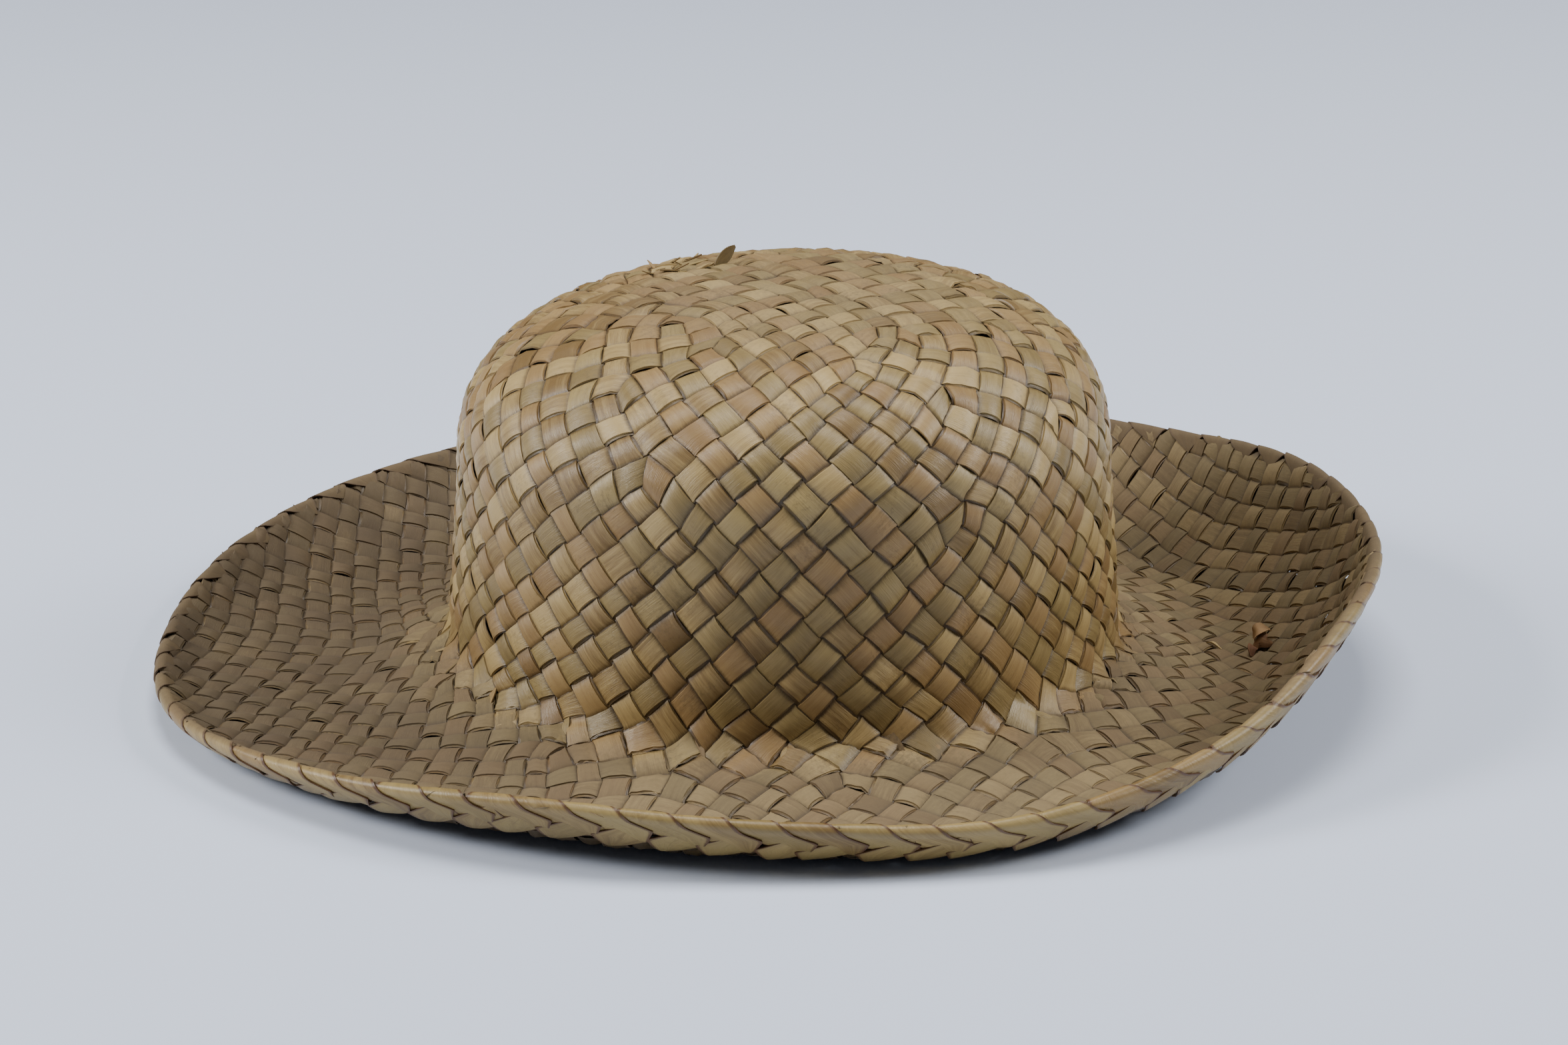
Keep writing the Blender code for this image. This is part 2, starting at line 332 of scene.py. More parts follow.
    def place(self, azimuth: np.ndarray, arc: np.ndarray, lift: np.ndarray) -> np.ndarray:
        """Points that stand a distance `lift` off the middle of the wall, pressed flat on the floor."""
        normal = self.sample(self.facing, azimuth, arc)
        normal /= np.linalg.norm(normal, axis=-1)[..., None]
        points = self.sample(self.points, azimuth, arc) + normal * np.asarray(lift)[..., None]
        below = np.minimum(points[..., 2] - self.press_height, 0.0)
        points[..., 2] -= (1.0 - self.press_share) * below
        return points


# Net of cells

@dataclass(frozen=True)
class NetPlan:
    """How the net of the plait grows from the tip to the rim.

    A square mat at the tip is ringed by rows of cells.  A knot adds one strip each way, and a ray is a
    line of such additions that turns the direction of the plait on the brim.
    """

    mat_half: int = 6
    crown_cell: float = 0.0077
    brim_cell: float = 0.00695
    first_turn: float = math.radians(-7.0)
    crown_arcs: tuple[float, ...] = (0.043, 0.049, 0.060, 0.076, 0.092, 0.110)
    crown_counts: tuple[int, ...] = (24, 27, 33, 41, 47, 52)
    clear_front: float = math.radians(15.0)
    knot_turn: float = math.radians(137.508)
    rays: tuple[float, ...] = (-90.0, -13.0, 40.0, 120.0, 195.0)
    crease_knots: tuple[float, ...] = (-33.0, 6.0, 85.0, 160.0, 235.0, 290.0)
    brim_levels: int = 22


class PlaitNet:
    """Net of four-sided cells over the whole hat."""

    def __init__(self, plan: NetPlan, surface: HatSurface) -> None:
        """Grow the net.

        Args:
            plan: Counts and cell sizes.
            surface: Surface that the net lies on.
        """
        self.plan = plan
        self.surface = surface
        self.azimuth: list[float] = []
        self.arc: list[float] = []
        self.cells: list[tuple[int, int, int, int]] = []
        ring, low = self._lay_mat()
        ring, low = self._grow_crown(ring, low)
        self._grow_brim(ring, low)
        self.azimuths = np.array(self.azimuth)
        self.arcs = np.array(self.arc)
        self.quads = np.array(self.cells)

    def _vertex(self, azimuth: float, arc: float) -> int:
        """Add a corner and return its number."""
        self.azimuth.append(azimuth)
        self.arc.append(arc)
        return len(self.arc) - 1

    def _lay_mat(self) -> tuple[list[int], list[int]]:
        """Square mat at the tip.

        Returns:
            The ring of corners on its border, and the inner corner shared by each neighbouring pair.
        """
        half = self.plan.mat_half
        step = self.plan.crown_cell / math.sqrt(2)
        number = {}
        for p in range(-half, half + 1):
            for s in range(-half, half + 1):
                if (p + s) % 2 == 0:
                    angle = self.plan.first_turn + math.atan2(s, p)
                    number[p, s] = self._vertex(angle, step * math.hypot(p, s) * 0.96)
        for p in range(1 - half, half):
            for s in range(1 - half, half):
                if (p + s) % 2:
                    self.cells.append(
                        (number[p - 1, s], number[p, s - 1], number[p + 1, s], number[p, s + 1])
                    )
        border = [(half, s) for s in range(-half, half, 2)]
        border += [(p, half) for p in range(half, -half, -2)]
        border += [(-half, s) for s in range(half, -half, -2)]
        border += [(p, -half) for p in range(-half, half, 2)]
        ring = [number[place] for place in border]
        low = []
        for (p, s), (q, t) in zip(border, border[1:] + border[:1]):
            middle = ((p + q) // 2, (s + t) // 2)
            inward = (
                middle[0] - (abs(middle[0]) == half) * int(math.copysign(1, middle[0])),
                middle[1] - (abs(middle[1]) == half) * int(math.copysign(1, middle[1])),
            )
            low.append(number[inward])
        return ring, low

    def _grow(
        self, ring: list[int], low: list[int], arc: float, added: set[int]
    ) -> tuple[list[int], list[int], dict[int, int]]:
        """Add one ring of cells.

        Args:
            ring: Corners of the outermost ring, by azimuth.
            low: Inner corner shared by each neighbouring pair.
            arc: Distance of the new ring from the tip.
            added: Places in the ring where a strip is added.

        Returns:
            The new ring, its shared inner corners, and the new corner at each added strip.
        """
        count = len(ring)
        new_ring, new_low, extra = [], [], {}
        for i in range(count):
            here, following = ring[i], ring[(i + 1) % count]
            if i in added:
                extra[here] = self._vertex(self.azimuth[here], arc)
                new_ring.append(extra[here])
                new_low.append(here)
            gap = (self.azimuth[following] - self.azimuth[here] + math.pi) % TURN - math.pi
            outer = self._vertex(self.azimuth[here] + gap / 2, arc)
            self.cells.append((low[i], here, outer, following))
            new_ring.append(outer)
            new_low.append(following)
        return new_ring, new_low, extra

    def _nearest(self, ring: Sequence[int], azimuth: float, taken: set[int]) -> int:
        """Place in a ring nearest to an azimuth that isn't taken yet."""
        away = [
            abs((self.azimuth[v] - azimuth + math.pi) % TURN - math.pi) + 9.0 * (i in taken)
            for i, v in enumerate(ring)
        ]
        return int(np.argmin(away))

    def _even(self, ring: Sequence[int], held: Sequence[int] = ()) -> None:
        """Even out the azimuths round a ring, apart from the corners that are held."""
        angles = np.unwrap([self.azimuth[v] for v in ring])
        free = np.array([v not in held for v in ring])
        for _ in range(60):
            before = np.append(angles[-1] - TURN, angles[:-1])
            after = np.append(angles[1:], angles[0] + TURN)
            angles = np.where(free, 0.5 * angles + 0.25 * (before + after), angles)
        for v, angle in zip(ring, angles):
            self.azimuth[v] = float(angle)

    def _grow_crown(self, ring: list[int], low: list[int]) -> tuple[list[int], list[int]]:
        """Rings from the mat to the foot of the crown, with knots where the crown widens."""
        plan = self.plan
        start = plan.crown_arcs[0]
        levels = round((self.surface.crease_arc - start) / (plan.crown_cell / math.sqrt(2)))
        knot = 0
        for level in range(1, levels + 1):
            arc = start + (self.surface.crease_arc - start) * level / levels
            wanted = round(np.interp(arc, plan.crown_arcs, plan.crown_counts))
            added: set[int] = set()
            while len(ring) + len(added) < wanted:
                knot += 1
                azimuth = (knot * plan.knot_turn + math.pi) % TURN - math.pi
                if abs(azimuth) > plan.clear_front:
                    added.add(self._nearest(ring, azimuth, added))
            ring, low, _ = self._grow(ring, low, arc, added)
            self._even(ring)
        return ring, low

    def _grow_brim(self, ring: list[int], low: list[int]) -> None:
        """Rings from the foot of the crown outwards, with a ray wherever the plait turns."""
        plan = self.plan
        rays: list[int] = []
        for azimuth in plan.rays:
            rays.append(ring[self._nearest(ring, math.radians(azimuth), {ring.index(v) for v in rays})])
        for level in range(1, plan.brim_levels + 1):
            added = {ring.index(v) for v in rays}
            if level == 2:
                for azimuth in plan.crease_knots:
                    added.add(self._nearest(ring, math.radians(azimuth), added))
            arc = self.surface.crease_arc + plan.brim_cell / math.sqrt(2) * level
            ring, low, extra = self._grow(ring, low, arc, added)
            rays = [extra[v] for v in rays]
            self._even(ring, rays)
            self._bow(ring, rays, level)

    def _bow(self, ring: Sequence[int], rays: Sequence[int], level: int) -> None:
        """Carry a ring further out near the rays, where its cells stand on their corners."""
        marks = sorted(ring.index(v) for v in rays)
        count = len(ring)
        for first, last in zip(marks, marks[1:] + [marks[0] + count]):
            for i in range(first, last):
                share = (i - first) / (last - first)
                lean = math.radians(45.0) * (2 * share - 1)
                step = self.plan.brim_cell / math.sqrt(2) / math.cos(lean)
                self.arc[ring[i % count]] = self.surface.crease_arc + step * level


class SpringNet:
    """Evens out a net on the surface as if its sides were springs."""

    def __init__(self, net: PlaitNet, strip_of_side: np.ndarray, seed: int) -> None:
        """Set the springs up.

        Args:
            net: Net to even out.
            strip_of_side: Strip that runs through each side of each cell.
            seed: Seed of the strips' widths.
        """
        self.net = net
        quads = net.quads
        ends = np.stack([quads, np.roll(quads, -1, axis=1)], axis=2).reshape(-1, 2)
        strips = strip_of_side.reshape(-1)
        ends_sorted = np.sort(ends, axis=1)
        _, first = np.unique(ends_sorted, axis=0, return_index=True)
        widths = 1.0 + 0.09 * np.random.default_rng(seed).standard_normal(strips.max() + 1)
        sides = ends_sorted[first]
        middle = net.arcs[sides].mean(axis=1)
        blend = np.clip((middle - net.surface.crease_arc + 0.004) / 0.012, 0.0, 1.0)
        cell = net.plan.crown_cell + (net.plan.brim_cell - net.plan.crown_cell) * blend
        side_length = cell * np.clip(widths[strips[first]], 0.82, 1.18)
        cross = np.concatenate([quads[:, [0, 2]], quads[:, [1, 3]]])
        cross_middle = net.arcs[cross].mean(axis=1)
        cross_blend = np.clip((cross_middle - net.surface.crease_arc + 0.004) / 0.012, 0.0, 1.0)
        cross_length = (
            net.plan.crown_cell + (net.plan.brim_cell - net.plan.crown_cell) * cross_blend
        ) * math.sqrt(2)
        self.ends = np.concatenate([sides, cross])
        self.rest = np.concatenate([side_length, cross_length])
        self.stiffness = np.concatenate([np.full(len(sides), 1.0), np.full(len(cross), 0.22)])

    def relax(self, steps: int, stride: float = 0.16, glide: float = 0.93) -> None:
        """Let the springs settle.

        Args:
            steps: Number of steps.
            stride: Share of the force that each step follows.
            glide: Share of its speed that a corner keeps.
        """
        net = self.net
        surface = net.surface
        azimuth, arc = net.azimuths.copy(), net.arcs.copy()
        speed_around, speed_along = np.zeros_like(arc), np.zeros_like(arc)
        count = len(arc)
        first, second = self.ends[:, 0], self.ends[:, 1]
        slopes = np.gradient(surface.flat_points, surface.spacing, axis=1)
        fixed = arc < 1e-6
        for _ in range(steps):
            points = surface.sample(surface.flat_points, azimuth, arc)
            apart = points[second] - points[first]
            length = np.linalg.norm(apart, axis=1)
            pull = (self.stiffness * (length - self.rest) / length)[:, None] * apart
            force = np.stack(
                [
                    np.bincount(first, pull[:, i], count) - np.bincount(second, pull[:, i], count)
                    for i in range(3)
                ],
                axis=1,
            )
            along = (force * surface.sample(slopes, azimuth, arc)).sum(axis=1)
            around = force[:, 0] * np.cos(azimuth) + force[:, 1] * np.sin(azimuth)
            reach = np.hypot(points[:, 0] - surface.centre[0], points[:, 1] - surface.centre[1])
            speed_along = np.where(fixed, 0.0, glide * speed_along + stride * along)
            speed_around = np.where(fixed, 0.0, glide * speed_around + stride * around)
            arc = np.maximum(arc + speed_along, 0.0)
            azimuth = azimuth + speed_around / np.maximum(reach, 0.004)
        net.azimuths, net.arcs = azimuth, arc


class Way(Enum):
    """Which of a cell's two strips lies on top."""

    FIRST_OVER = 1
    SECOND_OVER = 2


@dataclass(frozen=True)
class Crossing:
    """One cell as a strip passes through it."""

    cell: int
    entry: int


class StripPlan:
    """Strips of the net and which lies on top at each cell."""

    def __init__(self, quads: np.ndarray) -> None:
        """Find the strips.

        Args:
            quads: Corners of each cell, in order round it.
        """
        self.quads = quads
        self.neighbour = self._neighbours()
        self.strips = self._trace()
        self.ways = self._weave()

    def _neighbours(self) -> np.ndarray:
        """Cell and side across each side of each cell, or -1 at the border."""
        table = np.full((len(self.quads), 4, 2), -1)
        seen: dict[tuple[int, int], tuple[int, int]] = {}
        for cell, quad in enumerate(self.quads.tolist()):
            for side in range(4):
                a, b = quad[side], quad[(side + 1) % 4]
                key = (min(a, b), max(a, b))
                if key in seen:
                    other, other_side = seen[key]
                    table[cell, side] = (other, other_side)
                    table[other, other_side] = (cell, side)
                else:
                    seen[key] = (cell, side)
        return table

    def _trace(self) -> list[list[Crossing]]:
        """Chains of cells through opposite sides."""
        done = np.zeros((len(self.quads), 2), dtype=bool)
        strips = []
        starts = [(c, s) for c in range(len(self.quads)) for s in range(4) if self.neighbour[c, s, 0] < 0]
        starts += [(c, s) for c in range(len(self.quads)) for s in (0, 1)]
        for cell, side in starts:
            chain = []
            while cell >= 0 and not done[cell, side % 2]:
                done[cell, side % 2] = True
                chain.append(Crossing(int(cell), int(side)))
                cell, side = self.neighbour[cell, (side + 2) % 4]
            if chain:
                strips.append(chain)
        return strips

    def _weave(self) -> list[Way]:
        """Which strip lies on top at each cell, so that each strip goes over and under in turn."""
        over = np.zeros(len(self.quads), dtype=int)
        over[0] = 1
        front = [0]
        while front:
            following = []
            for cell in front:
                for side in range(4):
                    other, other_side = self.neighbour[cell, side]
                    if other >= 0 and not over[other]:
                        on_top = (over[cell] == 1) == (side % 2 == 0)
                        other_first = (other_side % 2 == 0) != on_top
                        over[other] = 1 if other_first else 2
                        following.append(other)
            front = following
        return [Way(max(int(value), 1)) for value in over]

    def side_strips(self) -> np.ndarray:
        """Strip that runs through each side of each cell."""
        table = np.zeros((len(self.quads), 4), dtype=int)
        for number, chain in enumerate(self.strips):
            for crossing in chain:
                table[crossing.cell, crossing.entry] = number
                table[crossing.cell, (crossing.entry + 2) % 4] = number
        return table

    def on_top(self, crossing: Crossing) -> bool:
        """Whether the strip lies on top at this crossing."""
        return (self.ways[crossing.cell] is Way.FIRST_OVER) == (crossing.entry % 2 == 0)


# Ribbons

@dataclass(frozen=True)
class RibbonShape:
    """Cross-section and rise of one leaf strip, in metres and in shares of a cell."""

    lift: float = 0.00120
    thickness: float = 0.00034
    bow: float = 0.00056
    flange_drop: float = 0.00042
    flange_range: tuple[float, float] = (0.04, 0.24)
    step: float = 0.02
    plateau: float = 2.3
    longer: float = 0.06
    tilt: float = 0.00022
    fill: float = 0.945
    end_fill: float = 1.03
    flare: int = 5
    along: tuple[float, ...] = (0.0, 0.10, 0.27, 0.50, 0.73, 0.90)
    under: tuple[float, ...] = (1.0, 0.0, -1.0)


class LeafMesh:
    """Gathers closed ribbons into one mesh with the maps that the leaf finish reads."""

    patch_margin = 0.06

    def __init__(self, name: str) -> None:
        """Start an empty mesh."""
        self.name = name
        self.points: list[np.ndarray] = []
        self.faces: list[list[int]] = []
        self.strip_map: list[np.ndarray] = []
        self.patch_map: list[np.ndarray] = []
        self.patch_number: list[np.ndarray] = []
        self.values: dict[str, list[np.ndarray]] = {
            name: [] for name in ("seed", "tint", "dust", "grime", "hidden", "low_flange", "high_flange")
        }
        self.count = 0
        self.patches = 0

    def add(
        self,
        sections: np.ndarray,
        stations: np.ndarray,
        across: np.ndarray,
        seed: float,
        colour_maps: dict[str, np.ndarray],
    ) -> None:
        """Add one ribbon.

        Args:
            sections: Points of each cross-section, in order round it.
            stations: Place of each cross-section along the ribbon, in cells.
            across: Place of each point across the ribbon, from -1 to 1.
            seed: Number that sets the ribbon's grain apart from the others.
            colour_maps: Values of the colour maps at each cross-section or point, from 0 to 1: tone, dust,
                painted darkening and painted seam shade.
        """
        rows, size = sections.shape[:2]
        self.points.append(sections.reshape(-1, 3))
        for name, values in self.values.items():
            value = colour_maps.get(name, np.zeros(rows)) if name != "seed" else np.full(rows, seed)
            values.append(np.repeat(value, size) if value.ndim == 1 else value.reshape(-1))
        i = np.arange(rows - 1)[:, None]
        j = np.arange(size)[None, :]
        nxt = (j + 1) % size
        quads = np.stack(
            [i * size + j, (i + 1) * size + j, (i + 1) * size + nxt, i * size + nxt], axis=-1
        )
        self.faces += (quads.reshape(-1, 4)[:, ::-1] + self.count).tolist()
        cell = np.floor(stations[:-1] + 1e-6)
        patch = self.patches + (cell - cell[0]).astype(int)
        self.patches = int(patch[-1]) + 1
        lengths = np.abs(np.diff(np.append(across, across[0])))
        round_it = np.append(0.0, np.cumsum(np.maximum(lengths, 0.1)))
        round_it /= round_it[-1]
        shape = (rows - 1, size)
        near, far = (np.broadcast_to(value[:, None], shape) for value in (stations[:-1], stations[1:]))
        here, beyond = (np.broadcast_to(across[k % size], shape) for k in (j, j + 1))
        self.strip_map.append(self._corners(near, far, here, beyond))
        start, end = (
            np.broadcast_to((value - cell)[:, None], shape) for value in (stations[:-1], stations[1:])
        )
        low, high = (np.broadcast_to(round_it[k], shape) for k in (j, j + 1))
        self.patch_map.append(self._corners(start, end, low, high))
        self.patch_number.append(np.repeat(patch, size * 4))
        self._cap(0, size, across, stations[0], 0.0, int(patch[0]), False)
        self._cap((rows - 1) * size, size, across, stations[-1], 1.0, int(patch[-1]), True)
        self.count += rows * size

    @staticmethod
    def _corners(near: np.ndarray, far: np.ndarray, low: np.ndarray, high: np.ndarray) -> np.ndarray:
        """Map corners of each quad, in the order of its points."""
        corners = [(near, low), (far, low), (far, high), (near, high)][::-1]
        return np.stack([np.stack(pair, axis=-1) for pair in corners], axis=2).reshape(-1, 2)

    def _cap(
        self, first: int, size: int, across: np.ndarray, station: float, side: float, patch: int, last: bool
    ) -> None:
        """Close one end of a ribbon with a single face."""
        order = np.arange(size)
        if not last:
            order = order[::-1]
        order = order[::-1]
        self.faces.append((self.count + first + order).tolist())
        self.strip_map.append(np.stack([np.full(size, station), across[order]], axis=1))
        under = order > np.argmax(across)
        depth = np.where(under, 0.03, 0.005)
        width = (across[order] + 1) / 2
        beside = side + (depth if last else -depth)
        self.patch_map.append(np.stack([beside, width], axis=1))
        self.patch_number.append(np.full(size, patch))

    def _packed(self) -> np.ndarray:
        """Bake map with every patch in its own rectangle."""
        numbers = np.concatenate(self.patch_number)
        columns = math.ceil(math.sqrt(2.0 * self.patches))
        rows = math.ceil(self.patches / columns)
        place = np.stack([numbers % columns, numbers // columns], axis=1)
        local = self.patch_margin + (1 - 2 * self.patch_margin) * np.concatenate(self.patch_map)
        return (place + local) / np.array([columns, rows])

    def build(self, finish: bpy.types.Material) -> bpy.types.Object:
        """Make the object.

        Args:
            finish: Material of the whole mesh.

        Returns:
            The new object, riding on the hat's only body.
        """
        mesh = bpy.data.meshes.new(self.name)
        points = np.concatenate(self.points)
        mesh.from_pydata(points.tolist(), [], self.faces)
        for name, values in self.values.items():
            layer = mesh.attributes.new(name, "FLOAT", "POINT")
            layer.data.foreach_set("value", np.concatenate(values).astype(np.float32))
        for name, uv in (("OFBake", self._packed()), ("strip", np.concatenate(self.strip_map))):
            layer = mesh.uv_layers.new(name=name)
            layer.data.foreach_set("uv", uv.astype(np.float32).ravel())
        mesh.shade_smooth()
        mesh.set_sharp_from_angle(angle=math.radians(50.0))
        mesh.materials.append(finish)
        obj = bpy.data.objects.new(self.name, mesh)
        bpy.context.collection.objects.link(obj)
        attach(obj, "root")
        LOG.info("%s: %d triangles", self.name, sum(len(face) - 2 for face in self.faces))
        return obj


class Region(Enum):
    """Parts of the plait that are pieces of their own."""

    CROWN_FRONT = "crown_plait_front"
    CROWN_BACK = "crown_plait_back"
    BRIM_FRONT = "brim_plait_front"
    BRIM_BACK = "brim_plait_back"
    BEYOND = "beyond the rim"


@dataclass
class Plait:
    """The woven crown and brim."""

    surface: HatSurface
    plan: NetPlan = field(default_factory=NetPlan)
    shape: RibbonShape = field(default_factory=RibbonShape)
    relax_steps: int = 900
    rim_overrun: float = 0.0058
    tucked: float = 0.00125
    hidden_rise: float = 0.72
    crumple: float = 0.00075
    crumple_width: float = 0.0055
    crumple_size: float = 0.0011
    knot_crumple: float = 0.55
    jitter: float = 0.00030
    crease_jitter: float = 0.00110
    clean_front: float = 20.0
    clean_fade: float = 45.0
    # Share of the painted darkening away from the front that is kept on the right side.
    right_far_darkening: float = 0.0
    under_wear: float = 0.45
    tone_spread: float = 0.14
    cell_spread: float = 0.11
    seed: int = 11

    def weave(self) -> tuple[PlaitNet, StripPlan]:
        """Grow the net, trace its strips and even it out."""
        net = PlaitNet(self.plan, self.surface)
        strips = StripPlan(net.quads)
        SpringNet(net, strips.side_strips(), self.seed).relax(self.relax_steps)
        return net, strips

    def _regions(self, net: PlaitNet) -> list[Region]:
        """Piece that each cell belongs to."""
        x = net.arcs * np.sin(net.azimuths)
        y = -net.arcs * np.cos(net.azimuths)
        middle_x, middle_y = x[net.quads].mean(axis=1), y[net.quads].mean(axis=1)
        arc = net.arcs[net.quads].mean(axis=1)
        azimuth = np.arctan2(middle_x, -middle_y)
        regions = []
        for here, a, front in zip(arc, self.surface.rim(azimuth), np.cos(azimuth) > 0):
            if here > a + self.rim_overrun:
                regions.append(Region.BEYOND)
            elif here < self.surface.crease_arc:
                regions.append(Region.CROWN_FRONT if front else Region.CROWN_BACK)
            else:
                regions.append(Region.BRIM_FRONT if front else Region.BRIM_BACK)
        return regions

    def build(self, finish: bpy.types.Material) -> list[bpy.types.Object]:
        """Draw every strip of the crown and brim.

        Args:
            finish: Leaf material.

        Returns:
            The four woven pieces.
        """
        net, strips = self.weave()
        regions = self._regions(net)
        chance = np.random.default_rng(self.seed)
        meshes = {region: LeafMesh(region.value) for region in Region if region is not Region.BEYOND}
        chart = np.stack(
            [net.arcs * np.sin(net.azimuths), -net.arcs * np.cos(net.azimuths)], axis=1
        )
        near_crease = np.exp(-(((net.arcs - self.surface.crease_arc) / self.crumple_width) ** 2))
        spread = self.jitter + self.crease_jitter * near_crease
        chart += spread[:, None] * np.clip(chance.standard_normal(chart.shape), -1.6, 1.6)
        rough = self._rough_cells(net)
        for chain in strips.strips:
            look = StripLook.draw(chance, self)
            run: list[Crossing] = []
            for crossing in [*chain, None]:
                region = regions[crossing.cell] if crossing else None
                if run and region is not regions[run[0].cell]:
                    piece = meshes[regions[run[0].cell]]
                    self._draw_run(piece, net, strips, chart, rough[[c.cell for c in run]], run, look)
                    run = []
                if crossing and region is not Region.BEYOND:
                    run.append(crossing)
        nodes = {
            Region.CROWN_FRONT: ("crown_top", "crown_side"),
            Region.CROWN_BACK: ("crown_top", "crown_side"),
            Region.BRIM_FRONT: ("brim",),
            Region.BRIM_BACK: ("brim",),
        }
        pieces = []
        for region, mesh in meshes.items():
            obj = mesh.build(finish)
            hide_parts(*nodes[region])
            pieces.append(obj)
        return pieces

    @staticmethod
    def _rough_cells(net: PlaitNet) -> np.ndarray:
        """Cells next to a corner where more or fewer than four cells meet."""
        meeting = np.bincount(net.quads.ravel(), minlength=len(net.arcs))
        odd = (meeting != 4) & (net.arcs < net.arcs.max() - 0.02)
        return odd[net.quads].any(axis=1).astype(float)

    def _draw_run(
        self,
        mesh: LeafMesh,
        net: PlaitNet,
        strips: StripPlan,
        chart: np.ndarray,
        rough: np.ndarray,
        run: Sequence[Crossing],
        look: "StripLook",
    ) -> None:
        """Draw one unbroken stretch of a strip inside one piece."""
        shape = self.shape
        corners = np.array([np.roll(net.quads[c.cell], -c.entry) for c in run])
        sign = np.array([1.0 if strips.on_top(c) else -1.0 for c in run])
        number = np.repeat(np.arange(len(run)), len(shape.along))
        part = np.tile(shape.along, len(run))
        number, part = np.append(number, len(run) - 1), np.append(part, 1.0)
        left_in, right_in, right_out, left_out = (chart[corners[number, k]] for k in range(4))
        left = left_in + (left_out - left_in) * part[:, None]
        right = right_in + (right_out - right_in) * part[:, None]
        low, high = look.low_flange - 1.0, 1.0 - look.high_flange
        top = np.array([-1.0, low, low + shape.step, 0.0, high - shape.step, high, 1.0])
        across = np.concatenate([top, shape.under])
        narrow = np.where(sign[number] > 0, shape.fill, 1.0)
        filled = narrow + (shape.end_fill - narrow) * np.abs(2 * part - 1) ** shape.flare
        wide = 0.5 * (1.0 + across[None, :] * filled[:, None])
        place = left[:, None, :] + (right - left)[:, None, :] * wide[..., None]
        arc = np.hypot(place[..., 0], place[..., 1])
        azimuth = np.arctan2(place[..., 0], -place[..., 1])
        cell_chance = np.random.default_rng(look.number)
        jitter = cell_chance.standard_normal((len(run), 4))
        length = 1.0 + 2.0 * shape.longer * sign[number]
        plateau = 1.0 - np.abs((2 * part - 1) / length) ** shape.plateau
        rise = sign[number] * plateau
        height = shape.lift * rise * (1.0 + 0.10 * jitter[number, 0])
        lift = height[:, None] - shape.bow * rise[:, None] * across[None, :] ** 2
        lift = lift + shape.tilt * (jitter[number, 1] * plateau)[:, None] * across[None, :]
        middle = arc.mean(axis=1)
        crease = np.exp(-(((middle - self.surface.crease_arc) / self.crumple_width) ** 2))
        amount = self.crumple * np.maximum(crease, self.knot_crumple * rough[number])
        x, y = place[..., 0] / self.crumple_size, place[..., 1] / self.crumple_size
        ripple = np.sin(x + 1.7 * np.sin(0.6 * y)) * np.sin(1.1 * y + 1.3 * np.sin(0.5 * x))
        fold = np.abs(np.sin(0.9 * x - 1.4 * y)) - 0.6
        lift = lift + amount[:, None] * (0.7 * ripple + 0.6 * fold)
        folded = np.clip((middle - self.surface.rim(azimuth[:, 3])) / 0.002, 0.0, 1.0)[:, None]
        lift = lift * (1.0 - 0.75 * folded) - self.tucked * folded
        count = len(top)
        offset = np.full(len(across), shape.thickness / 2)
        offset[[0, 1, count - 2, count - 1]] -= shape.flange_drop
        offset[count:] = -shape.thickness / 2
        sections = self.surface.place(azimuth, arc, lift + offset[None, :])
        slow = 0.5 * self.tone_spread * np.sin(0.35 * (number + part) + look.phase)
        tint = look.tone + slow + self.cell_spread * jitter[number, 2]
        faces = np.where(np.arange(len(across)) < count, 1.0, self.under_wear)
        # Tone, dust and a darkening painted on the brim away from the front; the underside of a ribbon gets
        # less dust and darkening.
        colour_maps = {
            "tint": tint,
            "dust": self._dust(azimuth[:, 3], middle)[:, None] * faces,
            "grime": self._far_darkening(azimuth[:, 3], middle)[:, None] * faces,
        }
        # Painted shade and dirt: the parts of a strip that dip under its neighbours are browned.
        colour_maps["hidden"] = np.clip(1.0 - rise / self.hidden_rise, 0.0, 1.0)
        colour_maps["low_flange"] = np.full(len(tint), look.low_flange)
        colour_maps["high_flange"] = np.full(len(tint), look.high_flange)
        mesh.add(sections, number + part, across, look.seed, colour_maps)

    def _turned(self, azimuth: np.ndarray) -> np.ndarray:
        """How far each azimuth is turned away from the front, which has the least dust and no painted
        darkening.
        """
        return np.clip((np.degrees(np.abs(azimuth)) - self.clean_front) / self.clean_fade, 0.0, 1.0)

    def _dust(self, azimuth: np.ndarray, arc: np.ndarray) -> np.ndarray:
        """Dust on the plait: most on the brim, some on the tip, little on the side."""
        start = self.surface.crease_arc - 0.003 - 0.006 * self._turned(azimuth)
        brim = np.clip((arc - start) / 0.010, 0.0, 1.0)
        tip = 0.58 * np.clip((0.085 - arc) / 0.050, 0.0, 1.0)
        return np.maximum(brim, tip)

    def _far_darkening(self, azimuth: np.ndarray, arc: np.ndarray) -> np.ndarray:
        """Darkening painted on the brim away from the front, less of it towards the right side."""
        brim = np.clip((arc - self.surface.crease_arc - 0.002) / 0.014, 0.0, 1.0)
        right = np.clip(0.5 + 0.9 * np.sin(azimuth), 0.0, 1.0)
        return brim * self._turned(azimuth) * (1.0 - (1.0 - self.right_far_darkening) * right)


@dataclass(frozen=True)
class StripLook:
    """What sets one strip apart from the others."""

    number: int
    seed: float
    tone: float
    phase: float
    low_flange: float
    high_flange: float

    @classmethod
    def draw(cls, chance: np.random.Generator, plait: Plait) -> "StripLook":
        """Draw a look at random."""
        return cls(
            number=int(chance.integers(1 << 30)),
            seed=float(chance.random()),
            tone=float(0.5 + plait.tone_spread * chance.standard_normal()),
            phase=float(chance.random() * TURN),
            low_flange=float(chance.uniform(*plait.shape.flange_range)),
            high_flange=float(chance.uniform(*plait.shape.flange_range)),
        )


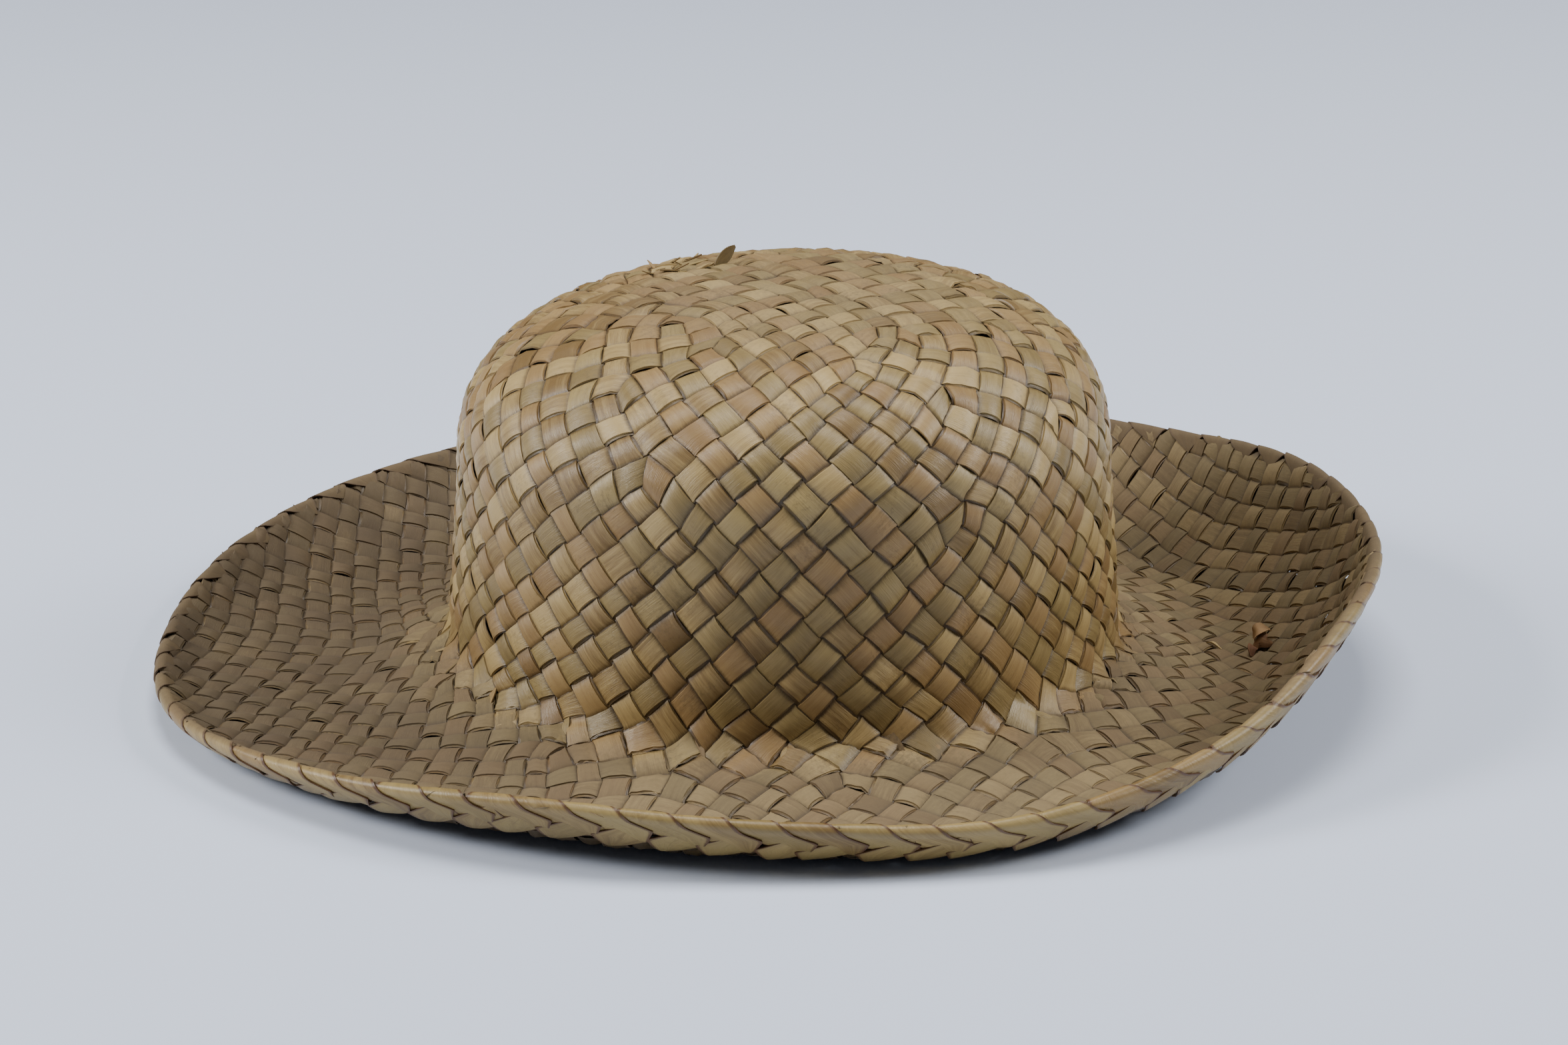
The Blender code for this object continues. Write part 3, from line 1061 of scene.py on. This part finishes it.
@dataclass
class RimBand:
    """Strip ends folded round the rim in slanting facets, and the row that holds them below."""

    surface: HatSurface
    facets: int = 78
    slant: float = math.radians(26.0)
    fill: float = 1.30
    top_start: float = -0.0010
    fold_end: float = 0.0094
    row_start: float = 0.0064
    row_end: float = 0.0135
    thickness: float = 0.00040
    lift: float = 0.00070
    shingle: float = 0.00038
    bow: float = 0.00026
    dust_reach: float = 0.0022
    seed: int = 23
    steps: int = 28
    top: tuple[float, ...] = (-1.0, -0.82, -0.5, -0.15, 0.2, 0.55, 0.85, 1.0)
    under: tuple[float, ...] = (1.0, -1.0)

    def build(self, finish: bpy.types.Material) -> bpy.types.Object:
        """Draw the band.

        Args:
            finish: Leaf material of the edge.

        Returns:
            The new piece.
        """
        mesh = LeafMesh("rim_band")
        chance = np.random.default_rng(self.seed)
        grid = np.linspace(0.0, TURN, 721)
        rim = self.surface.sample(self.surface.points, grid, self.surface.rim(grid))
        around = np.append(0.0, np.cumsum(np.linalg.norm(np.diff(rim, axis=0), axis=1)))
        for row in (0, 1):
            for number in range(self.facets):
                middle = (number + 0.5 * row + 0.04 * chance.standard_normal()) * around[-1] / self.facets
                self._add_facet(mesh, chance, grid, around, middle, row)
        obj = mesh.build(finish)
        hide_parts("brim_edge")
        return obj

    def _add_facet(
        self,
        mesh: LeafMesh,
        chance: np.random.Generator,
        grid: np.ndarray,
        around: np.ndarray,
        middle: float,
        row: int,
    ) -> None:
        """Draw one facet.

        Args:
            mesh: Mesh to add to.
            chance: Source of small differences.
            grid: Azimuths round the rim.
            around: Distance along the rim at each of them.
            middle: Where the facet crosses the rim, along the rim.
            row: 0 for the folded row and 1 for the row below it.
        """
        jitter = np.clip(chance.standard_normal(5), -1.8, 1.8)
        side = 1.0 - 2.0 * row
        start, end = ((self.top_start, self.fold_end), (self.row_start, self.row_end))[row]
        slant = self.slant + 0.02 * jitter[0]
        sine, cosine = math.sin(slant), math.cos(slant)
        half = around[-1] / self.facets * sine * self.fill * (1.0 + 0.03 * jitter[1]) / 2
        start += 0.0005 * jitter[2]
        past = np.linspace(start - half * cosine, end + half * cosine, self.steps)
        low = np.maximum((past * cosine - half) / sine, (start / sine - past * sine) / cosine)
        high = np.minimum((past * cosine + half) / sine, (end / sine - past * sine) / cosine)
        spread = np.maximum(high - low, 0.0003)
        across = np.array([*self.top, *self.under])
        run = (low + high)[:, None] / 2 + spread[:, None] / 2 * across
        beside = np.clip((past[:, None] * cosine - run * sine) / half, -1.0, 1.0)
        distance = middle + side * run
        azimuth = np.interp(distance % around[-1], around, grid)
        arc = self.surface.rim(azimuth) + past[:, None]
        share = np.linspace(0.0, 1.0, self.steps)
        ends = 1.0 - np.abs(2 * share - 1) ** 5
        base = self.lift * (1.0 - 0.35 * row) * (0.25 + 0.75 * ends)
        height = base[:, None] - self.shingle * beside - self.bow * beside**2 * (1.0 + 0.4 * jitter[3])
        height = height + np.where(np.arange(len(across)) < len(self.top), 0.5, -0.5) * self.thickness
        sections = self.surface.place(azimuth, arc, height)
        from_front = np.degrees(np.abs((azimuth[0, 0] + math.pi) % TURN - math.pi))
        turned = np.clip(from_front / 60.0 - 0.4, 0.0, 1.0)
        covered = np.clip((self.dust_reach * turned + 0.0008 - past) / 0.0015, 0.0, 1.0)
        # Dust on the facet tips, reaching further towards the back, with a darkening painted over it away
        # from the front.
        colour_maps = {
            "tint": np.full(self.steps, 0.55 + 0.13 * jitter[4]),
            "dust": covered,
            "grime": covered * (0.2 + 0.7 * turned),
        }
        mesh.add(sections, share * 0.999, across * side, float(chance.random()), colour_maps)


# Loose leaf ends

def smooth_curve(share: np.ndarray, place: np.ndarray, value: np.ndarray) -> np.ndarray:
    """Read a table along a smooth curve through its rows."""
    index = np.clip(np.searchsorted(place, share, side="right") - 1, 0, len(place) - 2)
    slope = np.gradient(value, place)
    width = place[index + 1] - place[index]
    part = (share - place[index]) / width
    return (
        value[index] * (2 * part**3 - 3 * part**2 + 1)
        + slope[index] * width * (part**3 - 2 * part**2 + part)
        + value[index + 1] * (3 * part**2 - 2 * part**3)
        + slope[index + 1] * width * (part**3 - part**2)
    )


@dataclass(frozen=True)
class Stop:
    """A point on a blade's path over the hat: degrees from the front, arc and lift in metres."""

    azimuth: float
    arc: float
    lift: float


@dataclass(frozen=True)
class Blade:
    """A short leaf end along a path, with its width at each point."""

    path: tuple[Stop, ...]
    widths: tuple[float, ...]
    roll: float = 0.0
    twist: float = 0.0
    cup: float = 0.0
    thickness: float = 0.00030
    tone: float = 0.5
    dust: float = 0.0
    steps: int = 14
    across: tuple[float, ...] = (-1.0, -0.5, 0.0, 0.5, 1.0, 1.0, 0.0, -1.0)

    def add_to(self, mesh: LeafMesh, surface: HatSurface, seed: float) -> None:
        """Draw the blade into a mesh.

        Args:
            mesh: Mesh to add to.
            surface: Surface that the path stands on.
            seed: Number that sets its grain apart.
        """
        across = np.array(self.across)
        azimuth, arc, lift = (
            np.array([getattr(stop, name) for stop in self.path]) for name in ("azimuth", "arc", "lift")
        )
        azimuth = np.radians(azimuth)
        knots = surface.place(azimuth, arc, lift)
        place = np.linspace(0.0, 1.0, len(knots))
        share = np.linspace(0.0, 1.0, self.steps)
        middle = np.stack([smooth_curve(share, place, knots[:, i]) for i in range(3)], axis=1)
        width = smooth_curve(share, np.linspace(0.0, 1.0, len(self.widths)), np.array(self.widths))
        up = surface.sample(surface.facing, azimuth[:1], arc[:1])[0]
        ahead = np.gradient(middle, axis=0)
        ahead /= np.linalg.norm(ahead, axis=1)[:, None]
        side = np.cross(ahead, up)
        side /= np.linalg.norm(side, axis=1)[:, None]
        facing = np.cross(side, ahead)
        turn = (self.roll + self.twist * share)[:, None]
        cosine, sine = np.cos(turn), np.sin(turn)
        side, facing = side * cosine + facing * sine, facing * cosine - side * sine
        half = np.where(np.arange(len(across)) < 5, 0.5, -0.5) * self.thickness
        height = half[None, :] + self.cup * width[:, None] * across[None, :] ** 2
        sections = (
            middle[:, None, :]
            + side[:, None, :] * (width[:, None] / 2 * across[None, :])[..., None]
            + facing[:, None, :] * height[..., None]
        )
        flat = np.ones(self.steps)
        colour_maps = {"tint": self.tone * flat, "dust": self.dust * flat}
        mesh.add(sections, share * 0.999, across, seed, colour_maps)


@dataclass(frozen=True)
class LooseEnds:
    """The strip end that stands on the crown, the scrap on the brim and the frayed bits."""

    surface: HatSurface
    seed: int = 5
    strip_end: Blade = Blade(
        path=(
            Stop(-137.5, 0.0362, 0.0004),
            Stop(-140.0, 0.0357, 0.0024),
            Stop(-143.5, 0.0352, 0.0042),
            Stop(-147.5, 0.0350, 0.0056),
        ),
        widths=(0.0016, 0.0040, 0.0038, 0.0008),
        roll=1.15,
        twist=0.25,
        cup=-0.16,
        tone=0.55,
        dust=0.70,
    )
    scrap: tuple[Blade, ...] = (
        Blade(
            path=(
                Stop(92.3, 0.2057, 0.0006),
                Stop(91.5, 0.2069, 0.0030),
                Stop(90.9, 0.2089, 0.0040),
                Stop(90.5, 0.2107, 0.0026),
                Stop(91.1, 0.2117, 0.0008),
            ),
            widths=(0.0018, 0.0042, 0.0048, 0.0036, 0.0012),
            roll=-0.35,
            twist=-0.9,
            cup=-0.20,
            tone=0.3,
        ),
        Blade(
            path=(
                Stop(91.7, 0.2071, 0.0036),
                Stop(91.5, 0.2093, 0.0058),
                Stop(91.9, 0.2115, 0.0054),
                Stop(92.7, 0.2129, 0.0030),
            ),
            widths=(0.0014, 0.0036, 0.0034, 0.0010),
            roll=-0.45,
            twist=-0.3,
            cup=0.14,
            tone=1.2,
            dust=0.4,
        ),
        Blade(
            path=(Stop(91.3, 0.2071, 0.0010), Stop(90.2, 0.2057, 0.0030), Stop(89.4, 0.2047, 0.0010)),
            widths=(0.0014, 0.0030, 0.0010),
            roll=0.5,
            twist=0.7,
            tone=0.15,
        ),
    )
    straw: Blade = Blade(
        path=(Stop(94.4, 0.1926, 0.0008), Stop(93.4, 0.1944, 0.0020), Stop(92.2, 0.1966, 0.0010)),
        widths=(0.0004, 0.0011, 0.0003),
        tone=1.1,
    )
    frays: int = 14
    fray_azimuth: tuple[float, float] = (-146.0, -120.0)
    fray_arc: tuple[float, float] = (0.036, 0.054)
    tucks: int = 26
    tuck_spread: float = 0.0036

    def build(self, leaf: bpy.types.Material, scrap: bpy.types.Material) -> list[bpy.types.Object]:
        """Make the pieces.

        Args:
            leaf: Finish of the strip end and the frayed bits.
            scrap: Finish of the scrap.

        Returns:
            The three pieces.
        """
        end, knot, frayed = (LeafMesh(name) for name in ("strip_end_leaf", "leaf_scrap_knot", "frayed_leaf"))
        self.strip_end.add_to(end, self.surface, 0.31)
        for number, blade in enumerate(self.scrap):
            blade.add_to(knot, self.surface, 0.17 + 0.3 * number)
        self.straw.add_to(frayed, self.surface, 0.77)
        self._add_frays(frayed)
        self._add_tucks(frayed)
        pieces = [end.build(leaf), knot.build(scrap), frayed.build(leaf)]
        for obj, node in zip(pieces, ("strip_end", "leaf_scrap")):
            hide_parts(node)
        return pieces

    def _add_frays(self, mesh: LeafMesh) -> None:
        """Broken bits that stand up at the back left of the tip."""
        chance = np.random.default_rng(self.seed)
        for _ in range(self.frays):
            azimuth, arc = chance.uniform(*self.fray_azimuth), chance.uniform(*self.fray_arc)
            turn, length = chance.uniform(0.0, TURN), chance.uniform(0.0030, 0.0065)
            rise = chance.uniform(0.0004, 0.0022)
            path = tuple(
                Stop(
                    azimuth + math.degrees(length * k * math.sin(turn) / arc),
                    arc + length * k * math.cos(turn),
                    0.0007 + rise * k,
                )
                for k in (0.0, 0.5, 1.0)
            )
            width = chance.uniform(0.0006, 0.0018)
            Blade(
                path,
                (width, width * 0.9, width * 0.3),
                twist=chance.uniform(-0.9, 0.9),
                tone=chance.uniform(0.4, 1.1),
            ).add_to(mesh, self.surface, float(chance.random()))

    def _add_tucks(self, mesh: LeafMesh) -> None:
        """Folded ends tucked in all along the crease."""
        chance = np.random.default_rng(self.seed + 1)
        for number in range(self.tucks):
            azimuth = (number + chance.uniform(-0.4, 0.4)) * 360.0 / self.tucks
            arc = self.surface.crease_arc + self.tuck_spread * chance.uniform(-1.0, 0.6)
            reach = chance.uniform(0.0022, 0.0040)
            lean = chance.uniform(-1.0, 1.0)
            path = tuple(
                Stop(azimuth + 1.6 * lean * k, arc + reach * k, 0.0002 + 0.0007 * (1 - k * k))
                for k in (-1.0, 0.0, 1.0)
            )
            width = chance.uniform(0.0018, 0.0032)
            Blade(
                path,
                (width * 0.7, width, width * 0.5),
                roll=chance.uniform(-0.25, 0.25),
                twist=chance.uniform(-0.6, 0.6),
                cup=chance.uniform(-0.25, 0.05),
                tone=chance.uniform(0.2, 0.7),
                dust=chance.uniform(0.2, 0.9),
            ).add_to(mesh, self.surface, float(chance.random()))


# Finishes

class Signal:
    """A shader output that adds maths nodes when it is used in a sum."""

    def __init__(self, shader: "Shader", output: bpy.types.NodeSocket) -> None:
        """Wrap an output."""
        self.shader = shader
        self.output = output

    def _maths(self, operation: str, *values: "Signal | float") -> "Signal":
        """Add one maths node."""
        return self.shader.maths(operation, *values)

    def __add__(self, other: "Signal | float") -> "Signal":
        """Sum."""
        return self._maths("ADD", self, other)

    __radd__ = __add__

    def __sub__(self, other: "Signal | float") -> "Signal":
        """Difference."""
        return self._maths("SUBTRACT", self, other)

    def __rsub__(self, other: "Signal | float") -> "Signal":
        """Difference from a number."""
        return self._maths("SUBTRACT", other, self)

    def __mul__(self, other: "Signal | float") -> "Signal":
        """Product."""
        return self._maths("MULTIPLY", self, other)

    __rmul__ = __mul__

    def __truediv__(self, other: "Signal | float") -> "Signal":
        """Quotient."""
        return self._maths("DIVIDE", self, other)

    def __rtruediv__(self, other: "Signal | float") -> "Signal":
        """Quotient of a number."""
        return self._maths("DIVIDE", other, self)

    def __pow__(self, other: "Signal | float") -> "Signal":
        """Power."""
        return self._maths("POWER", self, other)

    def __neg__(self) -> "Signal":
        """Opposite."""
        return self._maths("MULTIPLY", self, -1.0)

    def __abs__(self) -> "Signal":
        """Size without its sign."""
        return self._maths("ABSOLUTE", self)

    def fract(self) -> "Signal":
        """Part after the point."""
        return self._maths("FRACT", self)

    def step(self, low: float, high: float) -> "Signal":
        """Smooth step from 0 at `low` to 1 at `high`."""
        node = self.shader.node(
            "ShaderNodeMapRange",
            {"Value": self, "From Min": low, "From Max": high},
            interpolation_type="SMOOTHSTEP",
        )
        return Signal(self.shader, node.outputs["Result"])


class Shader:
    """One material and its nodes."""

    def __init__(self, name: str) -> None:
        """Start a material with nothing but its surface."""
        self.material = bpy.data.materials.new(name)
        self.material.use_nodes = True
        self.tree = self.material.node_tree
        self.tree.nodes.clear()
        self.surface = self.tree.nodes.new("ShaderNodeBsdfPrincipled")
        output = self.tree.nodes.new("ShaderNodeOutputMaterial")
        self.tree.links.new(self.surface.outputs["BSDF"], output.inputs["Surface"])

    def feed(self, socket: bpy.types.NodeSocket, value: object) -> None:
        """Link a signal into a socket, or set a number or a colour on it."""
        if isinstance(value, Signal):
            self.tree.links.new(value.output, socket)
        elif isinstance(value, tuple):
            socket.default_value = (*value, 1.0) if len(socket.default_value) == 4 else value
        else:
            socket.default_value = value

    def node(self, kind: str, inputs: dict[str, object], **settings: object) -> bpy.types.Node:
        """Add any node.

        Args:
            kind: Type of the node.
            inputs: Value or signal for each named input.
            **settings: Properties of the node.

        Returns:
            The new node.
        """
        node = self.tree.nodes.new(kind)
        for name, value in settings.items():
            setattr(node, name, value)
        for name, value in inputs.items():
            self.feed(node.inputs[name], value)
        return node

    def maths(self, operation: str, *values: Signal | float) -> Signal:
        """Add one maths node."""
        node = self.tree.nodes.new("ShaderNodeMath")
        node.operation = operation
        for socket, value in zip(node.inputs, values):
            self.feed(socket, value)
        return Signal(self, node.outputs["Value"])

    def attribute(self, name: str) -> Signal:
        """Read a number that the mesh carries."""
        node = self.node("ShaderNodeAttribute", {}, attribute_name=name)
        return Signal(self, node.outputs["Fac"])

    def vector(self, x: Signal | float, y: Signal | float, z: Signal | float) -> Signal:
        """Join three numbers."""
        node = self.node("ShaderNodeCombineXYZ", {"X": x, "Y": y, "Z": z})
        return Signal(self, node.outputs["Vector"])

    def split(self, vector: Signal) -> tuple[Signal, Signal, Signal]:
        """Take a vector apart."""
        node = self.node("ShaderNodeSeparateXYZ", {"Vector": vector})
        return tuple(Signal(self, node.outputs[name]) for name in "XYZ")

    def noise(self, place: Signal, scale: float, detail: float = 3.0, roughness: float = 0.55) -> Signal:
        """Noise from 0 to 1 at a place."""
        node = self.node(
            "ShaderNodeTexNoise",
            {"Vector": place, "Scale": scale, "Detail": detail, "Roughness": roughness},
        )
        return Signal(self, node.outputs["Fac"])

    def mix(self, share: Signal | float, first: object, second: object) -> Signal:
        """Blend two colours."""
        node = self.tree.nodes.new("ShaderNodeMix")
        node.data_type = "RGBA"
        node.clamp_factor = True
        self.feed(node.inputs[0], share)
        self.feed(node.inputs[6], first)
        self.feed(node.inputs[7], second)
        return Signal(self, node.outputs[2])

    def bump(self, height: Signal, distance: float, strength: float) -> Signal:
        """Turn a height into a normal."""
        node = self.node("ShaderNodeBump", {"Height": height, "Distance": distance, "Strength": strength})
        return Signal(self, node.outputs["Normal"])


Colour = tuple[float, float, float]


def from_screen(red: int, green: int, blue: int) -> Colour:
    """Colour for a shader from its values on a screen."""
    return tuple(
        value / 12.92 if value <= 0.04045 else ((value + 0.055) / 1.055) ** 2.4
        for value in (red / 255, green / 255, blue / 255)
    )


@dataclass(frozen=True)
class LeafFinish:
    """Dried leaf: long fibres, blotches and dust, with brown ends, sides and flanges from painted shade and
    dirt in the seams, and a darkening painted away from the front.
    """

    name: str
    light: Colour
    dark: Colour
    blush: Colour
    brown: Colour
    olive: Colour
    dust: Colour
    # Colour of the darkening painted on the brim away from the front.
    grime: Colour = from_screen(80, 66, 48)
    blush_share: float = 0.26
    olive_share: float = 0.34
    side_start: float = 0.92
    side_strength: float = 0.6
    brown_strength: float = 0.8
    roughness: float = 0.41
    dust_roughness: float = 0.85
    dust_strength: float = 0.62
    fibre_weight: float = 0.75
    streak_weight: float = 0.8
    blotch_weight: float = 0.7
    olive_strength: float = 0.45
    blush_strength: float = 0.5
    flange_strength: float = 0.75
    stain_strength: float = 0.22

    def build(self) -> bpy.types.Material:
        """Make the material."""
        shader = Shader(self.name)
        strip = Signal(shader, shader.node("ShaderNodeUVMap", {}, uv_map="strip").outputs["UV"])
        along, across, _ = shader.split(strip)
        seed, tint, dust, grime, hidden = (
            shader.attribute(name) for name in ("seed", "tint", "dust", "grime", "hidden")
        )
        low_flange, high_flange = (shader.attribute(name) for name in ("low_flange", "high_flange"))
        where = Signal(shader, shader.node("ShaderNodeTexCoord", {}).outputs["Object"])
        grain = shader.vector(along * 1.3 + seed * 57.0, across * 11.0, seed * 31.0)
        fibre = shader.noise(grain, 1.0, 4.0, 0.62)
        thread = shader.noise(shader.vector(along * 2.1 + seed * 91.0, across * 30.0, seed * 13.0), 1.0, 2.0)
        streak = shader.noise(shader.vector(along * 0.45 + seed * 23.0, across * 2.6, seed * 71.0), 1.0, 2.0)
        blotch = shader.noise(where, 55.0, 4.0, 0.6)
        speck = shader.noise(where, 900.0, 3.0, 0.65)
        tone = (
            tint
            + (fibre - 0.5) * self.fibre_weight
            + (streak - 0.5) * self.streak_weight
            + (blotch - 0.5) * self.blotch_weight
        ).step(0.02, 0.98)
        colour = shader.mix(tone, self.dark, self.light)
        hue = (seed * 7.0).fract()
        green = 1.0 - hue.step(self.olive_share - 0.05, self.olive_share)
        colour = shader.mix(green * self.olive_strength, colour, self.olive)
        reddish = hue.step(1.0 - self.blush_share, 1.06 - self.blush_share)
        colour = shader.mix(reddish * self.blush_strength, colour, self.blush)
        # Painted shade and dirt in the seams: parts that pass under other strips, the strip sides (also
        # their brown leaf edges) and the lowered flanges are browned, broken up by wear noise.
        sides = abs(across).step(self.side_start, 1.0) * self.side_strength
        flange = (high_flange + across - 1.0).step(0.0, 0.05) + (low_flange - across - 1.0).step(0.0, 0.05)
        seam_shade_and_dirt = hidden + sides + flange * self.flange_strength
        shade_dirt_and_wear = (seam_shade_and_dirt + (blotch - 0.5) * 0.6 + (thread - 0.5) * 0.5).step(0.15, 1.05)
        colour = shader.mix(shade_dirt_and_wear * self.brown_strength, colour, self.brown)
        stain = (blotch * 0.6 + speck * 0.5).step(0.60, 0.72)
        colour = shader.mix(stain * self.stain_strength, colour, self.brown)
        settled = (dust * 1.15 + (blotch - 0.5) * 0.8 + (speck - 0.5) * 0.7 - shade_dirt_and_wear * 0.25).step(0.1, 1.25)
        colour = shader.mix(settled * self.dust_strength, colour, self.dust)
        # Darkening painted on the brim away from the front, patchy with the blotches.
        colour = shader.mix(grime * (0.18 + blotch * 1.0), colour, self.grime)
        rough = settled * (self.dust_roughness - self.roughness) + (thread - 0.5) * 0.16 + self.roughness
        height = fibre * 0.9 + thread * 0.5 + speck * 0.35
        shader.feed(shader.surface.inputs["Base Color"], colour)
        shader.feed(shader.surface.inputs["Roughness"], rough)
        shader.feed(shader.surface.inputs["Specular IOR Level"], 0.5)
        shader.feed(shader.surface.inputs["Normal"], shader.bump(height, 0.00022, 0.55))
        return shader.material


@dataclass(frozen=True)
class BackdropFinish:
    """Pale even paper."""

    name: str = "backdrop"
    colour: Colour = from_screen(214, 223, 241)

    def build(self) -> bpy.types.Material:
        """Make the material."""
        shader = Shader(self.name)
        shader.feed(shader.surface.inputs["Base Color"], self.colour)
        shader.feed(shader.surface.inputs["Roughness"], 0.9)
        shader.feed(shader.surface.inputs["Specular IOR Level"], 0.1)
        return shader.material


# Stage

@dataclass(frozen=True)
class Lamp:
    """One large soft lamp: its place in metres and its power in watts."""

    name: str
    place: tuple[float, float, float]
    power: float


@dataclass(frozen=True)
class Studio:
    """Floor, lights and camera."""

    centre: tuple[float, float]
    floor_half: float = 9.0
    camera_distance: float = 1.1360
    camera_height: float = 0.4278
    camera_down: float = math.radians(18.8)
    lens: float = 99.55
    sensor_width: float = 36.0
    lamps: tuple[Lamp, ...] = (
        Lamp("overhead", (0.0, 0.11, 1.7), 19.9),
        Lamp("left", (-1.85, -0.26, 1.2), 47.0),
        Lamp("right", (1.80, -0.05, 1.35), 39.0),
    )
    lamp_size: float = 0.8
    aim_height: float = 0.05
    sky_colour: tuple[float, float, float, float] = (0.86, 0.91, 1.0, 1.0)
    sky_strength: float = 0.11

    def build(self) -> None:
        """Set the stage."""
        self._floor()
        for lamp in self.lamps:
            self._add_lamp(lamp)
        world = bpy.data.worlds.new("world")
        world.use_nodes = True
        background = world.node_tree.nodes["Background"]
        background.inputs["Color"].default_value = self.sky_colour
        background.inputs["Strength"].default_value = self.sky_strength
        scene = bpy.context.scene
        scene.world = world
        data = bpy.data.cameras.new("camera")
        data.lens = self.lens
        data.sensor_width = self.sensor_width
        camera = bpy.data.objects.new("camera", data)
        camera.location = (self.centre[0], self.centre[1] - self.camera_distance, self.camera_height)
        camera.rotation_euler = (math.pi / 2 - self.camera_down, 0.0, 0.0)
        scene.collection.objects.link(camera)
        scene.camera = camera

    def _floor(self) -> None:
        """Plain pale floor."""
        half = self.floor_half
        mesh = bpy.data.meshes.new("floor")
        corners = [(-half, -half, 0.0), (half, -half, 0.0), (half, half, 0.0), (-half, half, 0.0)]
        mesh.from_pydata(corners, [], [(0, 1, 2, 3)])
        mesh.materials.append(BackdropFinish().build())
        floor = bpy.data.objects.new("floor", mesh)
        bpy.context.scene.collection.objects.link(floor)

    def _add_lamp(self, lamp: Lamp) -> None:
        """Make a lamp that faces the hat."""
        data = bpy.data.lights.new(lamp.name, "AREA")
        data.shape = "SQUARE"
        data.size = self.lamp_size
        data.energy = lamp.power
        obj = bpy.data.objects.new(lamp.name, data)
        obj.location = lamp.place
        aim = Vector((self.centre[0], self.centre[1], self.aim_height)) - Vector(lamp.place)
        obj.rotation_euler = aim.to_track_quat("-Z", "Y").to_euler()
        bpy.context.scene.collection.objects.link(obj)


PLAIT_FINISH = LeafFinish(
    name="plait_leaf",
    light=from_screen(178, 152, 100),
    dark=from_screen(118, 93, 54),
    blush=from_screen(150, 118, 76),
    brown=from_screen(46, 29, 15),
    olive=from_screen(134, 118, 74),
    dust=from_screen(90, 79, 62),
)
RIM_FINISH = LeafFinish(
    name="rim_leaf",
    light=from_screen(160, 136, 84),
    dark=from_screen(108, 84, 46),
    blush=from_screen(140, 110, 64),
    brown=from_screen(72, 36, 14),
    olive=from_screen(144, 124, 74),
    dust=from_screen(110, 92, 68),
    blush_share=0.14,
    brown_strength=0.85,
    side_start=0.76,
    side_strength=1.15,
)
SCRAP_FINISH = LeafFinish(
    name="scrap_leaf",
    light=from_screen(196, 156, 104),
    dark=from_screen(108, 70, 44),
    blush=from_screen(136, 88, 56),
    brown=from_screen(58, 36, 24),
    olive=from_screen(118, 86, 54),
    dust=from_screen(110, 96, 84),
    roughness=0.75,
)


def main() -> None:
    """Build the hat, its finishes and the stage."""
    logging.basicConfig(level=logging.INFO, format="%(name)s: %(message)s")
    low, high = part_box("crown_side")
    centre = ((low[0] + high[0]) / 2, (low[1] + high[1]) / 2)
    surface = HatSurface(HatForm(), centre)
    plait_leaf, rim_leaf, scrap_leaf = (
        finish.build() for finish in (PLAIT_FINISH, RIM_FINISH, SCRAP_FINISH)
    )
    Plait(surface).build(plait_leaf)
    RimBand(surface).build(rim_leaf)
    LooseEnds(surface).build(plait_leaf, scrap_leaf)
    Studio(centre).build()


if __name__ == "__main__":
    main()
